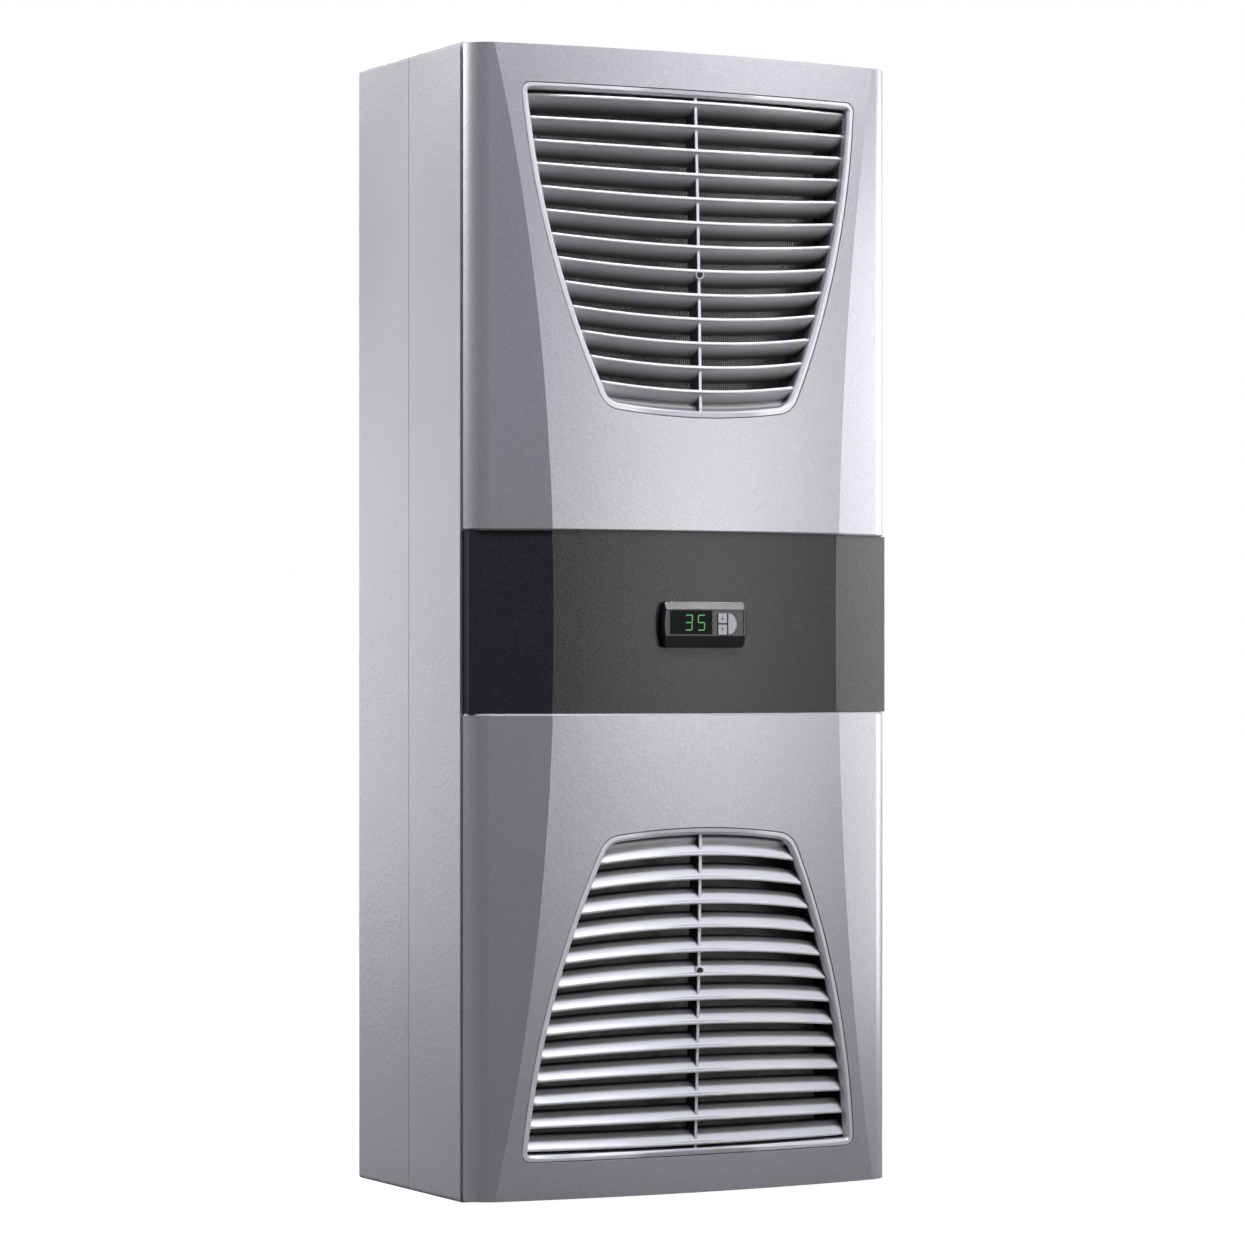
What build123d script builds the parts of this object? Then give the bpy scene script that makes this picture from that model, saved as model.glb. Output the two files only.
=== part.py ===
from build123d import *
import os
from math import asin, cos, degrees, hypot, radians, sin, sqrt, tan

# Wall-mounted enclosure cooling unit, in millimetres.
# +X is the unit's left-to-right seen from the front, -Y faces the front, +Z is up.
# The origin is the middle of the unit's footprint, at floor level.

# Housing
WIDTH = 400.0
HEIGHT = 950.0
CHASSIS_DEPTH = 102.0
HOOD_DEPTH = 101.0
SHEET = 1.5
EDGE_RADIUS = 3.0
SEAM_GAP = 0.8
LIP_LENGTH = 12.0
LIP_ROOT = 8.0
LIP_CLEARANCE = 0.3
FLANGE_WIDTH = 16.0
FIT = 0.2

# Bowed front of the fascia
FASCIA_BULGE = 48.5
PLAN_RADIUS = 1100.0
BOW_RADIUS = 9000.0
FACET_ANGLE = 22.8
SIDE_WALL = 12.5
CORNER_RADIUS = 28.0
FASCIA_WALL = 5.0
FASCIA_INSET = 1.5
FASCIA_EDGE_BEVEL = 1.5
GROOVE_WIDTH = 3.0
GROOVE_DEPTH = 3.5

# Centre band
BAND_HEIGHT = 150.0
BAND_RECESS = 3.0
BAND_WALL = 3.0
BAND_CORNER = 1.0
BAND_CLEARANCE = 0.3

# Grilles, described for the upper one; the lower one is its mirror image
GRILLE_BELOW_TOP = 32.5
GRILLE_TALL = 273.0
GRILLE_SIDE_MARGIN = 42.5
GRILLE_WAIST_DROP = 127.5
GRILLE_WAIST_STEP = 20.0
GRILLE_BOTTOM_STEP = 69.5
GRILLE_BOTTOM_RISE = 7.0
GRILLE_TOP_RADIUS = 8.0
GRILLE_BOTTOM_RADIUS = 22.0
GRILLE_GAP = 0.7
GRILLE_DEPTH = 26.0
RIM_WIDTH = 5.2
RIM_BEVEL = 1.9
RIM_SET_BACK = 0.4
BLADE_COUNT = 13
BLADE_PITCH = 20.05
BLADE_BELOW_TOP = 11.2
BLADE_DEPTH = 18.0
BLADE_DROP = 11.2
BLADE_BELLY = 2.0
BLADE_THICKNESS = 2.0
BLADE_PLAN_RADIUS = 680.0
NOSE_SET_BACK = 1.0
RISE_HALF_WIDTH = 140.0
FIRST_RISE = 0.1
RISE_STEP = 1.2
SILL_SET_BACK = 3.0
SILL_DEPTH = 9.0
SILL_RISE = 12.0
SILL_BELLY = 1.0
RIB_THICKNESS = 2.5
RIB_SET_BACK = 3.0
RIB_DEPTH = 16.0
BOSS_RADIUS = 4.0
BOSS_BELOW_TOP = 153.5
BOSS_PROUD = 1.0

# Controller
CONTROLLER_WIDTH = 80.0
CONTROLLER_HEIGHT = 38.0
CONTROLLER_DROP = 1.5
CONTROLLER_PROUD = 4.5
CONTROLLER_END_BULGE = 3.0
CONTROLLER_CORNER = 4.0
CONTROLLER_BEVEL = 2.0
PANEL_TOP = 12.6
PANEL_BOTTOM = -9.4
PANEL_RECESS = 0.5
PANEL_HALF_WIDTH = 36.0
BROW_SLOPE_BACK = 2.6
CHIN_SLOPE_BACK = 2.0
CONTROLLER_BODY_WIDTH = 70.0
CONTROLLER_BODY_HEIGHT = 28.0
CONTROLLER_BODY_DEPTH = 34.0
CUTOUT_CLEARANCE = 0.5
WINDOW_LEFT = -33.0
WINDOW_RIGHT = 6.5
WINDOW_BOTTOM = -8.0
WINDOW_TOP = 11.5
WINDOW_RADIUS = 1.0
WINDOW_THICKNESS = 1.4
WINDOW_SET_BACK = 0.7
WINDOW_CLEARANCE = 0.1
KEYS_LEFT = 11.8
KEYS_SPLIT = 20.6
KEYS_RIGHT = 29.0
KEYS_BOTTOM = -8.3
KEYS_TOP = 9.6
KEY_GAP = 1.3
KEY_PROUD = 0.6
KEY_LENGTH = 3.0
KEY_CLEARANCE = 0.35
KEY_TRAVEL_ROOM = 1.5
KEY_RADIUS = 1.0
KEY_END_BULGE = 6.4

# Air side behind the grilles
BAFFLE_SIDE_MARGIN = 65.0
BAFFLE_MARGIN = 4.5
COIL_DEPTH = 44.0
COIL_LAP = 6.0
COIL_PLATE = 1.5

# Rear panel
GASKET = 4.0
GASKET_WIDTH = 14.0
GASKET_INSET = 6.0
INTAKE_BELOW_TOP = 260.0
INTAKE_RADIUS = 84.0
INLET_WALL = 2.0
INLET_LENGTH = 30.0
INLET_FLANGE_WIDTH = 14.0
INLET_FLANGE = 2.0
GUARD_WIRE = 2.0
GUARD_RINGS = 4
IMPELLER_RADIUS = 78.0
IMPELLER_LENGTH = 40.0
IMPELLER_BLADES = 7
IMPELLER_BLADE = 2.0
IMPELLER_PLATE = 3.0
IMPELLER_HUB_RADIUS = 38.0
IMPELLER_SHROUD_WIDTH = 16.0
IMPELLER_CLEARANCE = 4.0
MOTOR_RADIUS = 45.0
MOTOR_LENGTH = 14.0
BRACKET_CLEARANCE = 30.0
BRACKET_HEIGHT = 44.0
BRACKET_SHEET = 2.0
BRACKET_FOOT = 14.0
OUTLET_HEIGHT = 215.0
OUTLET_SIDE_MARGIN = 70.0
OUTLET_TALL = 130.0
OUTLET_RADIUS = 10.0
EVAPORATOR_DEPTH = 50.0
EVAPORATOR_GAP = 12.0
EVAPORATOR_MARGIN = 12.0
NUT_SIDE_MARGIN = 40.0
NUT_END_MARGIN = 45.0
NUT_RADIUS = 5.5
NUT_BORE = 3.4
NUT_LENGTH = 16.0
NUT_FLANGE_RADIUS = 8.5
NUT_FLANGE = 1.2
SOCKET_WIDTH = 52.0
SOCKET_TALL = 22.0
SOCKET_SIDE_MARGIN = 90.0
SOCKET_BELOW_TOP = 100.0
SOCKET_DEPTH = 22.0
SOCKET_PROUD = 2.5
SOCKET_FLANGE = 5.0

# Planes across the depth, from the wall forward
DEPTH = GASKET + CHASSIS_DEPTH + HOOD_DEPTH + FASCIA_BULGE + CONTROLLER_PROUD
wall_y = DEPTH / 2
back_y = wall_y - GASKET
seam_y = back_y - CHASSIS_DEPTH
hood_y = seam_y - HOOD_DEPTH
apex_y = hood_y - FASCIA_BULGE
face_y = apex_y - CONTROLLER_PROUD
panel_y = back_y - SHEET
baffle_y = hood_y + SHEET
coil_y = baffle_y + SHEET

# Levels
mid_z = HEIGHT / 2
band_top = mid_z + BAND_HEIGHT / 2
fascia_top = HEIGHT - FASCIA_INSET
fascia_height = HEIGHT - 2 * FASCIA_INSET
grille_top = HEIGHT - GRILLE_BELOW_TOP
grille_bottom = grille_top - GRILLE_TALL
grille_half = WIDTH / 2 - GRILLE_SIDE_MARGIN
intake_z = HEIGHT - INTAKE_BELOW_TOP
mirror_plane = Plane.XY.offset(mid_z)
overrun = 20.0


def facing(y):
    """Return the upright plane at depth y that faces the front, with X across and Z up."""
    return Plane.XZ.offset(-y)


def front_y(z, set_back):
    """Return the depth of the bowed front's middle line at height z, moved back by set_back."""
    radius = BOW_RADIUS - set_back
    return apex_y + BOW_RADIUS - sqrt(radius**2 - (z - mid_z) ** 2)


def bowed_body(set_back):
    """Return the space behind the bowed centre surface, moved back by set_back."""
    half_height = mid_z + overrun
    half_turn = asin(half_height / (BOW_RADIUS - FASCIA_BULGE))
    half_width = WIDTH / 2 + overrun
    front = set_back - BOW_RADIUS
    plan_radius = PLAN_RADIUS - set_back
    sag = plan_radius - sqrt(plan_radius**2 - half_width**2)
    rear = front + FASCIA_BULGE + HOOD_DEPTH
    start = Plane(
        origin=(0, apex_y + BOW_RADIUS, mid_z), x_dir=(1, 0, 0), z_dir=(0, -sin(half_turn), cos(half_turn))
    )
    with BuildPart() as body:
        with BuildSketch(start):
            with BuildLine():
                nose = ThreePointArc((-half_width, front + sag), (0, front), (half_width, front + sag))
                Polyline(nose @ 1, (half_width, rear), (-half_width, rear), nose @ 0)
            make_face()
        revolve(axis=Axis(start.origin, (-1, 0, 0)), revolution_arc=2 * degrees(half_turn))
    return body.part


def front_form(inset, low, high, rear, corner):
    """Return the fascia's outer form moved in by inset, from low to high, ending at depth rear."""
    side = WIDTH / 2 - inset
    slope = tan(radians(FACET_ANGLE))
    shoulder = hood_y - SIDE_WALL + inset / cos(radians(FACET_ANGLE)) - inset * slope
    far = hood_y + HOOD_DEPTH
    ahead = 2 * (rear - apex_y)
    with BuildPart() as form:
        with BuildSketch(Plane.XY.offset(low)):
            with BuildLine():
                Polyline(
                    (side, far), (side, shoulder), (0, shoulder - side * slope), (-side, shoulder),
                    (-side, far), close=True,
                )
            plan = make_face()
            corners = [v for v in plan.vertices() if abs(v.Y - shoulder) < FIT]
            fillet(corners, corner)
            with Locations((0, rear - ahead / 2)):
                Rectangle(WIDTH, ahead, mode=Mode.INTERSECT)
        extrude(amount=high - low)
        add(bowed_body(inset), mode=Mode.INTERSECT)
    return form.part


def grille_outline(inset):
    """Return the grille's shield-shaped outline, moved in by inset."""
    waist_half = grille_half - GRILLE_WAIST_STEP
    waist_z = grille_top - GRILLE_WAIST_DROP
    bottom_half = grille_half - GRILLE_BOTTOM_STEP
    corner_z = grille_bottom + GRILLE_BOTTOM_RISE
    with BuildSketch() as outline:
        with BuildLine():
            right = ThreePointArc((grille_half, grille_top), (waist_half, waist_z), (bottom_half, corner_z))
            left = ThreePointArc((-grille_half, grille_top), (-waist_half, waist_z), (-bottom_half, corner_z))
            ThreePointArc(right @ 1, (0, grille_bottom), left @ 1)
            Line(right @ 0, left @ 0)
        make_face()
        fillet(outline.vertices().group_by(Axis.Y)[-1], GRILLE_TOP_RADIUS)
        fillet(outline.vertices().group_by(Axis.Y)[0], GRILLE_BOTTOM_RADIUS)
        if inset:
            offset(amount=-inset, mode=Mode.REPLACE)
    return outline.sketch


def louvre_blade(level, set_back, depth, drop, belly):
    """Return a curved blade, level pitches below the first, on a nose line that bows forward and sags."""
    nose_z = grille_top - BLADE_BELOW_TOP - level * BLADE_PITCH
    nose_y = front_y(nose_z, set_back)
    rise = (FIRST_RISE + level * RISE_STEP) / RISE_HALF_WIDTH**2
    sweep_back = 1 / (2 * BLADE_PLAN_RADIUS)
    steepness = hypot(rise, sweep_back)
    radius = 1 / (2 * steepness)
    towards = Vector(0, sweep_back / steepness, rise / steepness)
    axis = Axis(Vector(0, nose_y, nose_z) + towards * radius, (0, -towards.Z, towards.Y))
    half_turn = degrees(asin((grille_half + RIM_WIDTH) / radius))
    chord = hypot(depth, drop)
    belly_y = nose_y + depth / 2 - belly * drop / chord
    belly_z = nose_z - drop / 2 - belly * depth / chord
    tail_y = nose_y + depth
    tail_z = nose_z - drop
    with BuildPart() as blade:
        with BuildSketch(Plane.YZ):
            with BuildLine():
                under = ThreePointArc((nose_y, nose_z), (belly_y, belly_z), (tail_y, tail_z))
                over = ThreePointArc(
                    (nose_y, nose_z + BLADE_THICKNESS),
                    (belly_y, belly_z + BLADE_THICKNESS),
                    (tail_y, tail_z + BLADE_THICKNESS),
                )
                Line(under @ 0, over @ 0)
                Line(under @ 1, over @ 1)
            make_face()
        revolve(axis=axis, revolution_arc=2 * half_turn)
    return blade.part.rotate(axis, -half_turn)


def save(builder, name):
    """Label a finished piece and write it to its own file."""
    builder.part.label = name
    export_step(builder.part, f"parts/{name}.step")


os.makedirs("parts", exist_ok=True)

# Chassis: folded tube, with a lip that the cover hood slips over
lip_inset = SHEET + LIP_CLEARANCE
with BuildPart() as chassis_shell:
    with BuildSketch(facing(back_y)):
        with Locations((0, mid_z)):
            RectangleRounded(WIDTH, HEIGHT, EDGE_RADIUS)
            Rectangle(WIDTH - 2 * SHEET, HEIGHT - 2 * SHEET, mode=Mode.SUBTRACT)
    extrude(amount=CHASSIS_DEPTH)
    with BuildSketch(facing(seam_y + LIP_ROOT)):
        with Locations((0, mid_z)):
            Rectangle(WIDTH - 2 * SHEET, HEIGHT - 2 * SHEET)
            Rectangle(
                WIDTH - 2 * (lip_inset + SHEET), HEIGHT - 2 * (lip_inset + SHEET), mode=Mode.SUBTRACT
            )
    extrude(amount=LIP_ROOT)
    with BuildSketch(facing(seam_y)):
        with Locations((0, mid_z)):
            Rectangle(WIDTH - 2 * lip_inset, HEIGHT - 2 * lip_inset)
            Rectangle(
                WIDTH - 2 * (lip_inset + SHEET), HEIGHT - 2 * (lip_inset + SHEET), mode=Mode.SUBTRACT
            )
    extrude(amount=LIP_LENGTH)
save(chassis_shell, "chassis_shell")

# Cover hood: folded tube with an inward flange at its front
with BuildPart() as cover_hood:
    with BuildSketch(facing(seam_y - SEAM_GAP)):
        with Locations((0, mid_z)):
            RectangleRounded(WIDTH, HEIGHT, EDGE_RADIUS)
            Rectangle(WIDTH - 2 * SHEET, HEIGHT - 2 * SHEET, mode=Mode.SUBTRACT)
    extrude(amount=HOOD_DEPTH - SEAM_GAP)
    with BuildSketch(facing(baffle_y)):
        with Locations((0, mid_z)):
            RectangleRounded(WIDTH, HEIGHT, EDGE_RADIUS)
            Rectangle(WIDTH - 2 * FLANGE_WIDTH, HEIGHT - 2 * FLANGE_WIDTH, mode=Mode.SUBTRACT)
    extrude(amount=SHEET)
save(cover_hood, "cover_hood")

# Fascia: bowed tray with a shadow groove round its rear edge and the grille's opening
outer_form = front_form(0, band_top, fascia_top, hood_y, CORNER_RADIUS)
inner_form = front_form(
    FASCIA_WALL, band_top + FASCIA_WALL, fascia_top - FASCIA_WALL, hood_y + overrun,
    CORNER_RADIUS - FASCIA_WALL,
)
with BuildPart() as upper_fascia:
    add(outer_form)
    band_side = upper_fascia.faces().sort_by(Axis.Z)[0]
    chamfer(band_side.edges().sort_by(Axis.Y)[:-1], FASCIA_EDGE_BEVEL)
    add(inner_form, mode=Mode.SUBTRACT)
    with BuildSketch(facing(hood_y)):
        with Locations((0, mid_z)):
            Rectangle(WIDTH + overrun, HEIGHT + overrun)
            Rectangle(
                WIDTH - 2 * GROOVE_DEPTH, fascia_height - 2 * GROOVE_DEPTH, mode=Mode.SUBTRACT
            )
    extrude(amount=GROOVE_WIDTH, mode=Mode.SUBTRACT)
    with BuildSketch(facing(hood_y)):
        add(grille_outline(0))
    extrude(amount=FASCIA_BULGE, mode=Mode.SUBTRACT)
save(upper_fascia, "upper_fascia")

with BuildPart() as lower_fascia:
    add(mirror(upper_fascia.part, about=mirror_plane))
save(lower_fascia, "lower_fascia")

# Grille: bevelled rim, curved louvre blades over a sill, and a central rib with a screw boss
with BuildPart() as rim:
    with BuildSketch(facing(hood_y)):
        add(grille_outline(GRILLE_GAP))
        add(grille_outline(GRILLE_GAP + RIM_WIDTH), mode=Mode.SUBTRACT)
    extrude(amount=FASCIA_BULGE)
    add(bowed_body(RIM_SET_BACK), mode=Mode.INTERSECT)
    add(bowed_body(GRILLE_DEPTH), mode=Mode.SUBTRACT)
    rim_face = rim.faces().sort_by(Axis.Y)[0]
    chamfer(rim_face.inner_wires()[0].edges(), RIM_BEVEL)
with BuildPart() as blades:
    add([
        louvre_blade(level, NOSE_SET_BACK, BLADE_DEPTH, BLADE_DROP, BLADE_BELLY)
        for level in range(BLADE_COUNT)
    ])
    add(louvre_blade(BLADE_COUNT, SILL_SET_BACK, SILL_DEPTH, -SILL_RISE, SILL_BELLY))
    with BuildSketch(facing(hood_y)):
        add(grille_outline(GRILLE_GAP + RIM_WIDTH / 2))
    extrude(amount=FASCIA_BULGE, mode=Mode.INTERSECT)
with BuildPart() as rib:
    add(bowed_body(RIB_SET_BACK))
    add(bowed_body(RIB_SET_BACK + RIB_DEPTH), mode=Mode.SUBTRACT)
    with BuildSketch(facing(hood_y)):
        with Locations((0, (grille_top + grille_bottom) / 2)):
            Rectangle(RIB_THICKNESS, GRILLE_TALL - RIM_WIDTH)
    extrude(amount=FASCIA_BULGE, mode=Mode.INTERSECT)
boss_z = grille_top - BOSS_BELOW_TOP
boss_y = front_y(boss_z, RIB_SET_BACK - BOSS_PROUD)
with BuildPart() as upper_grille:
    add([rim.part, blades.part, rib.part])
    with BuildSketch(facing(boss_y + RIB_DEPTH)):
        with Locations((0, boss_z)):
            Circle(BOSS_RADIUS)
    extrude(amount=RIB_DEPTH)
save(upper_grille, "upper_grille")

with BuildPart() as lower_grille:
    add(mirror(upper_grille.part, about=mirror_plane))
save(lower_grille, "lower_grille")

# Centre band: recessed tray between the two fascia halves, with the controller's cut-out
controller_z = mid_z - CONTROLLER_DROP
band_low = mid_z - BAND_HEIGHT / 2 + BAND_CLEARANCE
band_high = band_top - BAND_CLEARANCE
with BuildPart() as centre_band:
    add(front_form(BAND_RECESS, band_low, band_high, hood_y, BAND_CORNER))
    add(
        front_form(
            BAND_RECESS + BAND_WALL, band_low + BAND_WALL, band_high - BAND_WALL, hood_y + overrun,
            BAND_CORNER,
        ),
        mode=Mode.SUBTRACT,
    )
    with BuildSketch(facing(hood_y)):
        with Locations((0, controller_z)):
            Rectangle(
                CONTROLLER_BODY_WIDTH + 2 * CUTOUT_CLEARANCE, CONTROLLER_BODY_HEIGHT + 2 * CUTOUT_CLEARANCE
            )
    extrude(amount=FASCIA_BULGE, mode=Mode.SUBTRACT)
save(centre_band, "centre_band")

# Controller: bezel with a sloping brow and chin, snap-in body behind it, window and keys in a recessed panel
bezel_y = face_y + KEY_PROUD
bezel_back = bowed_body(BAND_RECESS - FIT)
key_split_z = (KEYS_BOTTOM + KEYS_TOP) / 2
half_gap = KEY_GAP / 2
window_width = WINDOW_RIGHT - WINDOW_LEFT
window_height = WINDOW_TOP - WINDOW_BOTTOM
window_x = (WINDOW_LEFT + WINDOW_RIGHT) / 2
window_z = controller_z + (WINDOW_BOTTOM + WINDOW_TOP) / 2


def square_key(low, high, grow):
    """Return the outline of a left-hand key between two heights, grown all round by grow."""
    with BuildSketch() as key:
        with Locations(((KEYS_LEFT + KEYS_SPLIT - half_gap) / 2, controller_z + (low + high) / 2)):
            RectangleRounded(
                KEYS_SPLIT - half_gap - KEYS_LEFT + 2 * grow, high - low + 2 * grow, KEY_RADIUS + grow
            )
    return key.sketch


def round_ended_key(grow):
    """Return the outline of the right-hand key, whose right end is bowed, grown all round by grow."""
    left = KEYS_SPLIT + half_gap - grow
    right = KEYS_RIGHT - KEY_END_BULGE + grow
    low = controller_z + KEYS_BOTTOM - grow
    high = controller_z + KEYS_TOP + grow
    with BuildSketch() as key:
        with BuildLine():
            ThreePointArc((right, low), (right + KEY_END_BULGE, (low + high) / 2), (right, high))
            Polyline((right, high), (left, high), (left, low), (right, low))
        face = make_face()
        fillet(face.vertices(), KEY_RADIUS + grow)
    return key.sketch


key_outlines = {
    "key_up": lambda grow: square_key(key_split_z + half_gap, KEYS_TOP, grow),
    "key_down": lambda grow: square_key(KEYS_BOTTOM, key_split_z - half_gap, grow),
    "key_set": round_ended_key,
}

with BuildPart() as controller_housing:
    with BuildSketch(facing(apex_y + overrun)):
        with BuildLine():
            half_width = CONTROLLER_WIDTH / 2 - CONTROLLER_END_BULGE
            low = controller_z - CONTROLLER_HEIGHT / 2
            high = controller_z + CONTROLLER_HEIGHT / 2
            end = half_width + CONTROLLER_END_BULGE
            ThreePointArc((half_width, low), (end, controller_z), (half_width, high))
            Line((half_width, high), (-half_width, high))
            ThreePointArc((-half_width, high), (-end, controller_z), (-half_width, low))
            Line((-half_width, low), (half_width, low))
        bezel = make_face()
        fillet(bezel.vertices(), CONTROLLER_CORNER)
    extrude(amount=apex_y + overrun - bezel_y)
    chamfer(controller_housing.faces().sort_by(Axis.Y)[0].edges(), CONTROLLER_BEVEL)
    with BuildSketch(Plane.YZ):
        for ridge, edge, back in ((PANEL_TOP, high, BROW_SLOPE_BACK), (PANEL_BOTTOM, low, CHIN_SLOPE_BACK)):
            with BuildLine():
                Polyline(
                    (bezel_y, controller_z + ridge), (bezel_y + back, edge), (bezel_y - overrun, edge),
                    (bezel_y - overrun, controller_z + ridge), close=True,
                )
            make_face()
    extrude(amount=CONTROLLER_WIDTH, both=True, mode=Mode.SUBTRACT)
    with BuildSketch(facing(bezel_y + PANEL_RECESS)):
        with Locations((0, controller_z + (PANEL_TOP + PANEL_BOTTOM) / 2)):
            Rectangle(2 * PANEL_HALF_WIDTH, PANEL_TOP - PANEL_BOTTOM - 2 * PANEL_RECESS)
    extrude(amount=overrun, mode=Mode.SUBTRACT)
    add(bezel_back, mode=Mode.SUBTRACT)
    with BuildSketch(facing(bezel_y + CONTROLLER_BODY_DEPTH)):
        with Locations((0, controller_z)):
            Rectangle(CONTROLLER_BODY_WIDTH, CONTROLLER_BODY_HEIGHT)
    extrude(amount=CONTROLLER_BODY_DEPTH - KEY_LENGTH)
    with BuildSketch(facing(bezel_y + WINDOW_THICKNESS + WINDOW_SET_BACK)):
        with Locations((window_x, window_z)):
            RectangleRounded(
                window_width + 2 * WINDOW_CLEARANCE, window_height + 2 * WINDOW_CLEARANCE, WINDOW_RADIUS
            )
    extrude(amount=overrun, mode=Mode.SUBTRACT)
    with BuildSketch(facing(face_y + KEY_LENGTH + KEY_TRAVEL_ROOM)):
        for outline in key_outlines.values():
            add(outline(KEY_CLEARANCE))
    extrude(amount=overrun, mode=Mode.SUBTRACT)
save(controller_housing, "controller_housing")

with BuildPart() as display_window:
    with BuildSketch(facing(bezel_y + WINDOW_THICKNESS + WINDOW_SET_BACK)):
        with Locations((window_x, window_z)):
            RectangleRounded(window_width, window_height, WINDOW_RADIUS)
    extrude(amount=WINDOW_THICKNESS)
save(display_window, "display_window")

for key_name, outline in key_outlines.items():
    with BuildPart() as key:
        with BuildSketch(facing(face_y + KEY_LENGTH)):
            add(outline(0))
        extrude(amount=KEY_LENGTH)
    save(key, key_name)

# Baffle behind the fascia, and a finned coil with two end plates at each of its openings
baffle_width = WIDTH - 2 * SHEET - 2 * FIT
baffle_height = HEIGHT - 2 * SHEET - 2 * FIT
opening_height = GRILLE_TALL + 2 * BAFFLE_MARGIN
opening_z = (grille_top + grille_bottom) / 2
opening_half = WIDTH / 2 - BAFFLE_SIDE_MARGIN
coil_height = opening_height + 2 * COIL_LAP
with BuildPart() as air_baffle:
    with BuildSketch(facing(coil_y)):
        with Locations((0, mid_z)):
            Rectangle(baffle_width, baffle_height)
        with Locations((0, opening_z), (0, HEIGHT - opening_z)):
            Rectangle(2 * opening_half, opening_height, mode=Mode.SUBTRACT)
    extrude(amount=SHEET)
save(air_baffle, "air_baffle")

coil_half = opening_half + COIL_LAP
for level, coil_z in (("upper", opening_z), ("lower", HEIGHT - opening_z)):
    with BuildPart() as coil_fins:
        with BuildSketch(facing(coil_y + COIL_DEPTH)):
            with Locations((0, coil_z)):
                Rectangle(2 * coil_half, coil_height)
        extrude(amount=COIL_DEPTH)
    save(coil_fins, f"{level}_coil_fins")
    plate_offset = coil_half + COIL_PLATE / 2
    for side, plate_x in (("left", -plate_offset), ("right", plate_offset)):
        with BuildPart() as coil_plate:
            with BuildSketch(facing(coil_y + COIL_DEPTH)):
                with Locations((plate_x, coil_z)):
                    Rectangle(COIL_PLATE, coil_height)
            extrude(amount=COIL_DEPTH)
        save(coil_plate, f"{level}_coil_{side}_plate")

# Back panel with the air intake, the air outlet and holes for the nuts and the socket
inlet_hole = INTAKE_RADIUS + FIT
outlet_width = WIDTH - 2 * OUTLET_SIDE_MARGIN
nut_spacing_x = WIDTH - 2 * NUT_SIDE_MARGIN
nut_spacing_z = HEIGHT - 2 * NUT_END_MARGIN
socket_place = (SOCKET_SIDE_MARGIN - WIDTH / 2, HEIGHT - SOCKET_BELOW_TOP)
with BuildPart() as back_panel:
    with BuildSketch(facing(back_y)):
        with Locations((0, mid_z)):
            Rectangle(baffle_width, baffle_height)
            with GridLocations(nut_spacing_x, nut_spacing_z, 2, 2):
                Circle(NUT_RADIUS + FIT, mode=Mode.SUBTRACT)
        with Locations((0, intake_z)):
            Circle(inlet_hole, mode=Mode.SUBTRACT)
        with Locations((0, OUTLET_HEIGHT)):
            RectangleRounded(outlet_width, OUTLET_TALL, OUTLET_RADIUS, mode=Mode.SUBTRACT)
        with Locations(socket_place):
            Rectangle(SOCKET_WIDTH + 2 * FIT, SOCKET_TALL + 2 * FIT, mode=Mode.SUBTRACT)
    extrude(amount=SHEET)
save(back_panel, "back_panel")

with BuildPart() as rear_gasket:
    with BuildSketch(facing(wall_y)):
        with Locations((0, mid_z)):
            Rectangle(WIDTH - 2 * GASKET_INSET, HEIGHT - 2 * GASKET_INSET)
            Rectangle(
                WIDTH - 2 * (GASKET_INSET + GASKET_WIDTH), HEIGHT - 2 * (GASKET_INSET + GASKET_WIDTH),
                mode=Mode.SUBTRACT,
            )
    extrude(amount=GASKET)
save(rear_gasket, "rear_gasket")

with BuildPart() as blind_nuts:
    with BuildSketch(facing(back_y + NUT_FLANGE)):
        with Locations((0, mid_z)):
            with GridLocations(nut_spacing_x, nut_spacing_z, 2, 2):
                Circle(NUT_FLANGE_RADIUS)
                Circle(NUT_BORE, mode=Mode.SUBTRACT)
    extrude(amount=NUT_FLANGE)
    with BuildSketch(facing(back_y)):
        with Locations((0, mid_z)):
            with GridLocations(nut_spacing_x, nut_spacing_z, 2, 2):
                Circle(NUT_RADIUS)
                Circle(NUT_BORE, mode=Mode.SUBTRACT)
    extrude(amount=NUT_LENGTH)
save(blind_nuts, "blind_nuts")

with BuildPart() as terminal_socket:
    with BuildSketch(facing(back_y)):
        with Locations(socket_place):
            Rectangle(SOCKET_WIDTH, SOCKET_TALL)
    extrude(amount=SOCKET_DEPTH)
    with BuildSketch(facing(back_y + SOCKET_PROUD)):
        with Locations(socket_place):
            Rectangle(SOCKET_WIDTH + 2 * SOCKET_FLANGE, SOCKET_TALL + 2 * SOCKET_FLANGE)
    extrude(amount=SOCKET_PROUD)
save(terminal_socket, "terminal_socket")

# Fan behind the intake: flared inlet ring, wire guard, impeller on its motor, bracket on the panel
fan_axis = Axis((0, 0, intake_z), (0, 1, 0))
with BuildPart() as inlet_ring:
    with BuildSketch(Plane.YZ):
        with BuildLine():
            Polyline(
                (back_y - INLET_LENGTH, intake_z + INTAKE_RADIUS - INLET_WALL),
                (back_y - INLET_LENGTH, intake_z + INTAKE_RADIUS),
                (back_y, intake_z + INTAKE_RADIUS),
                (back_y, intake_z + INTAKE_RADIUS + INLET_FLANGE_WIDTH),
                (back_y + INLET_FLANGE, intake_z + INTAKE_RADIUS + INLET_FLANGE_WIDTH),
                (back_y + INLET_FLANGE, intake_z + INTAKE_RADIUS - INLET_WALL),
                close=True,
            )
        make_face()
    revolve(axis=fan_axis)
save(inlet_ring, "inlet_ring")

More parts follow.
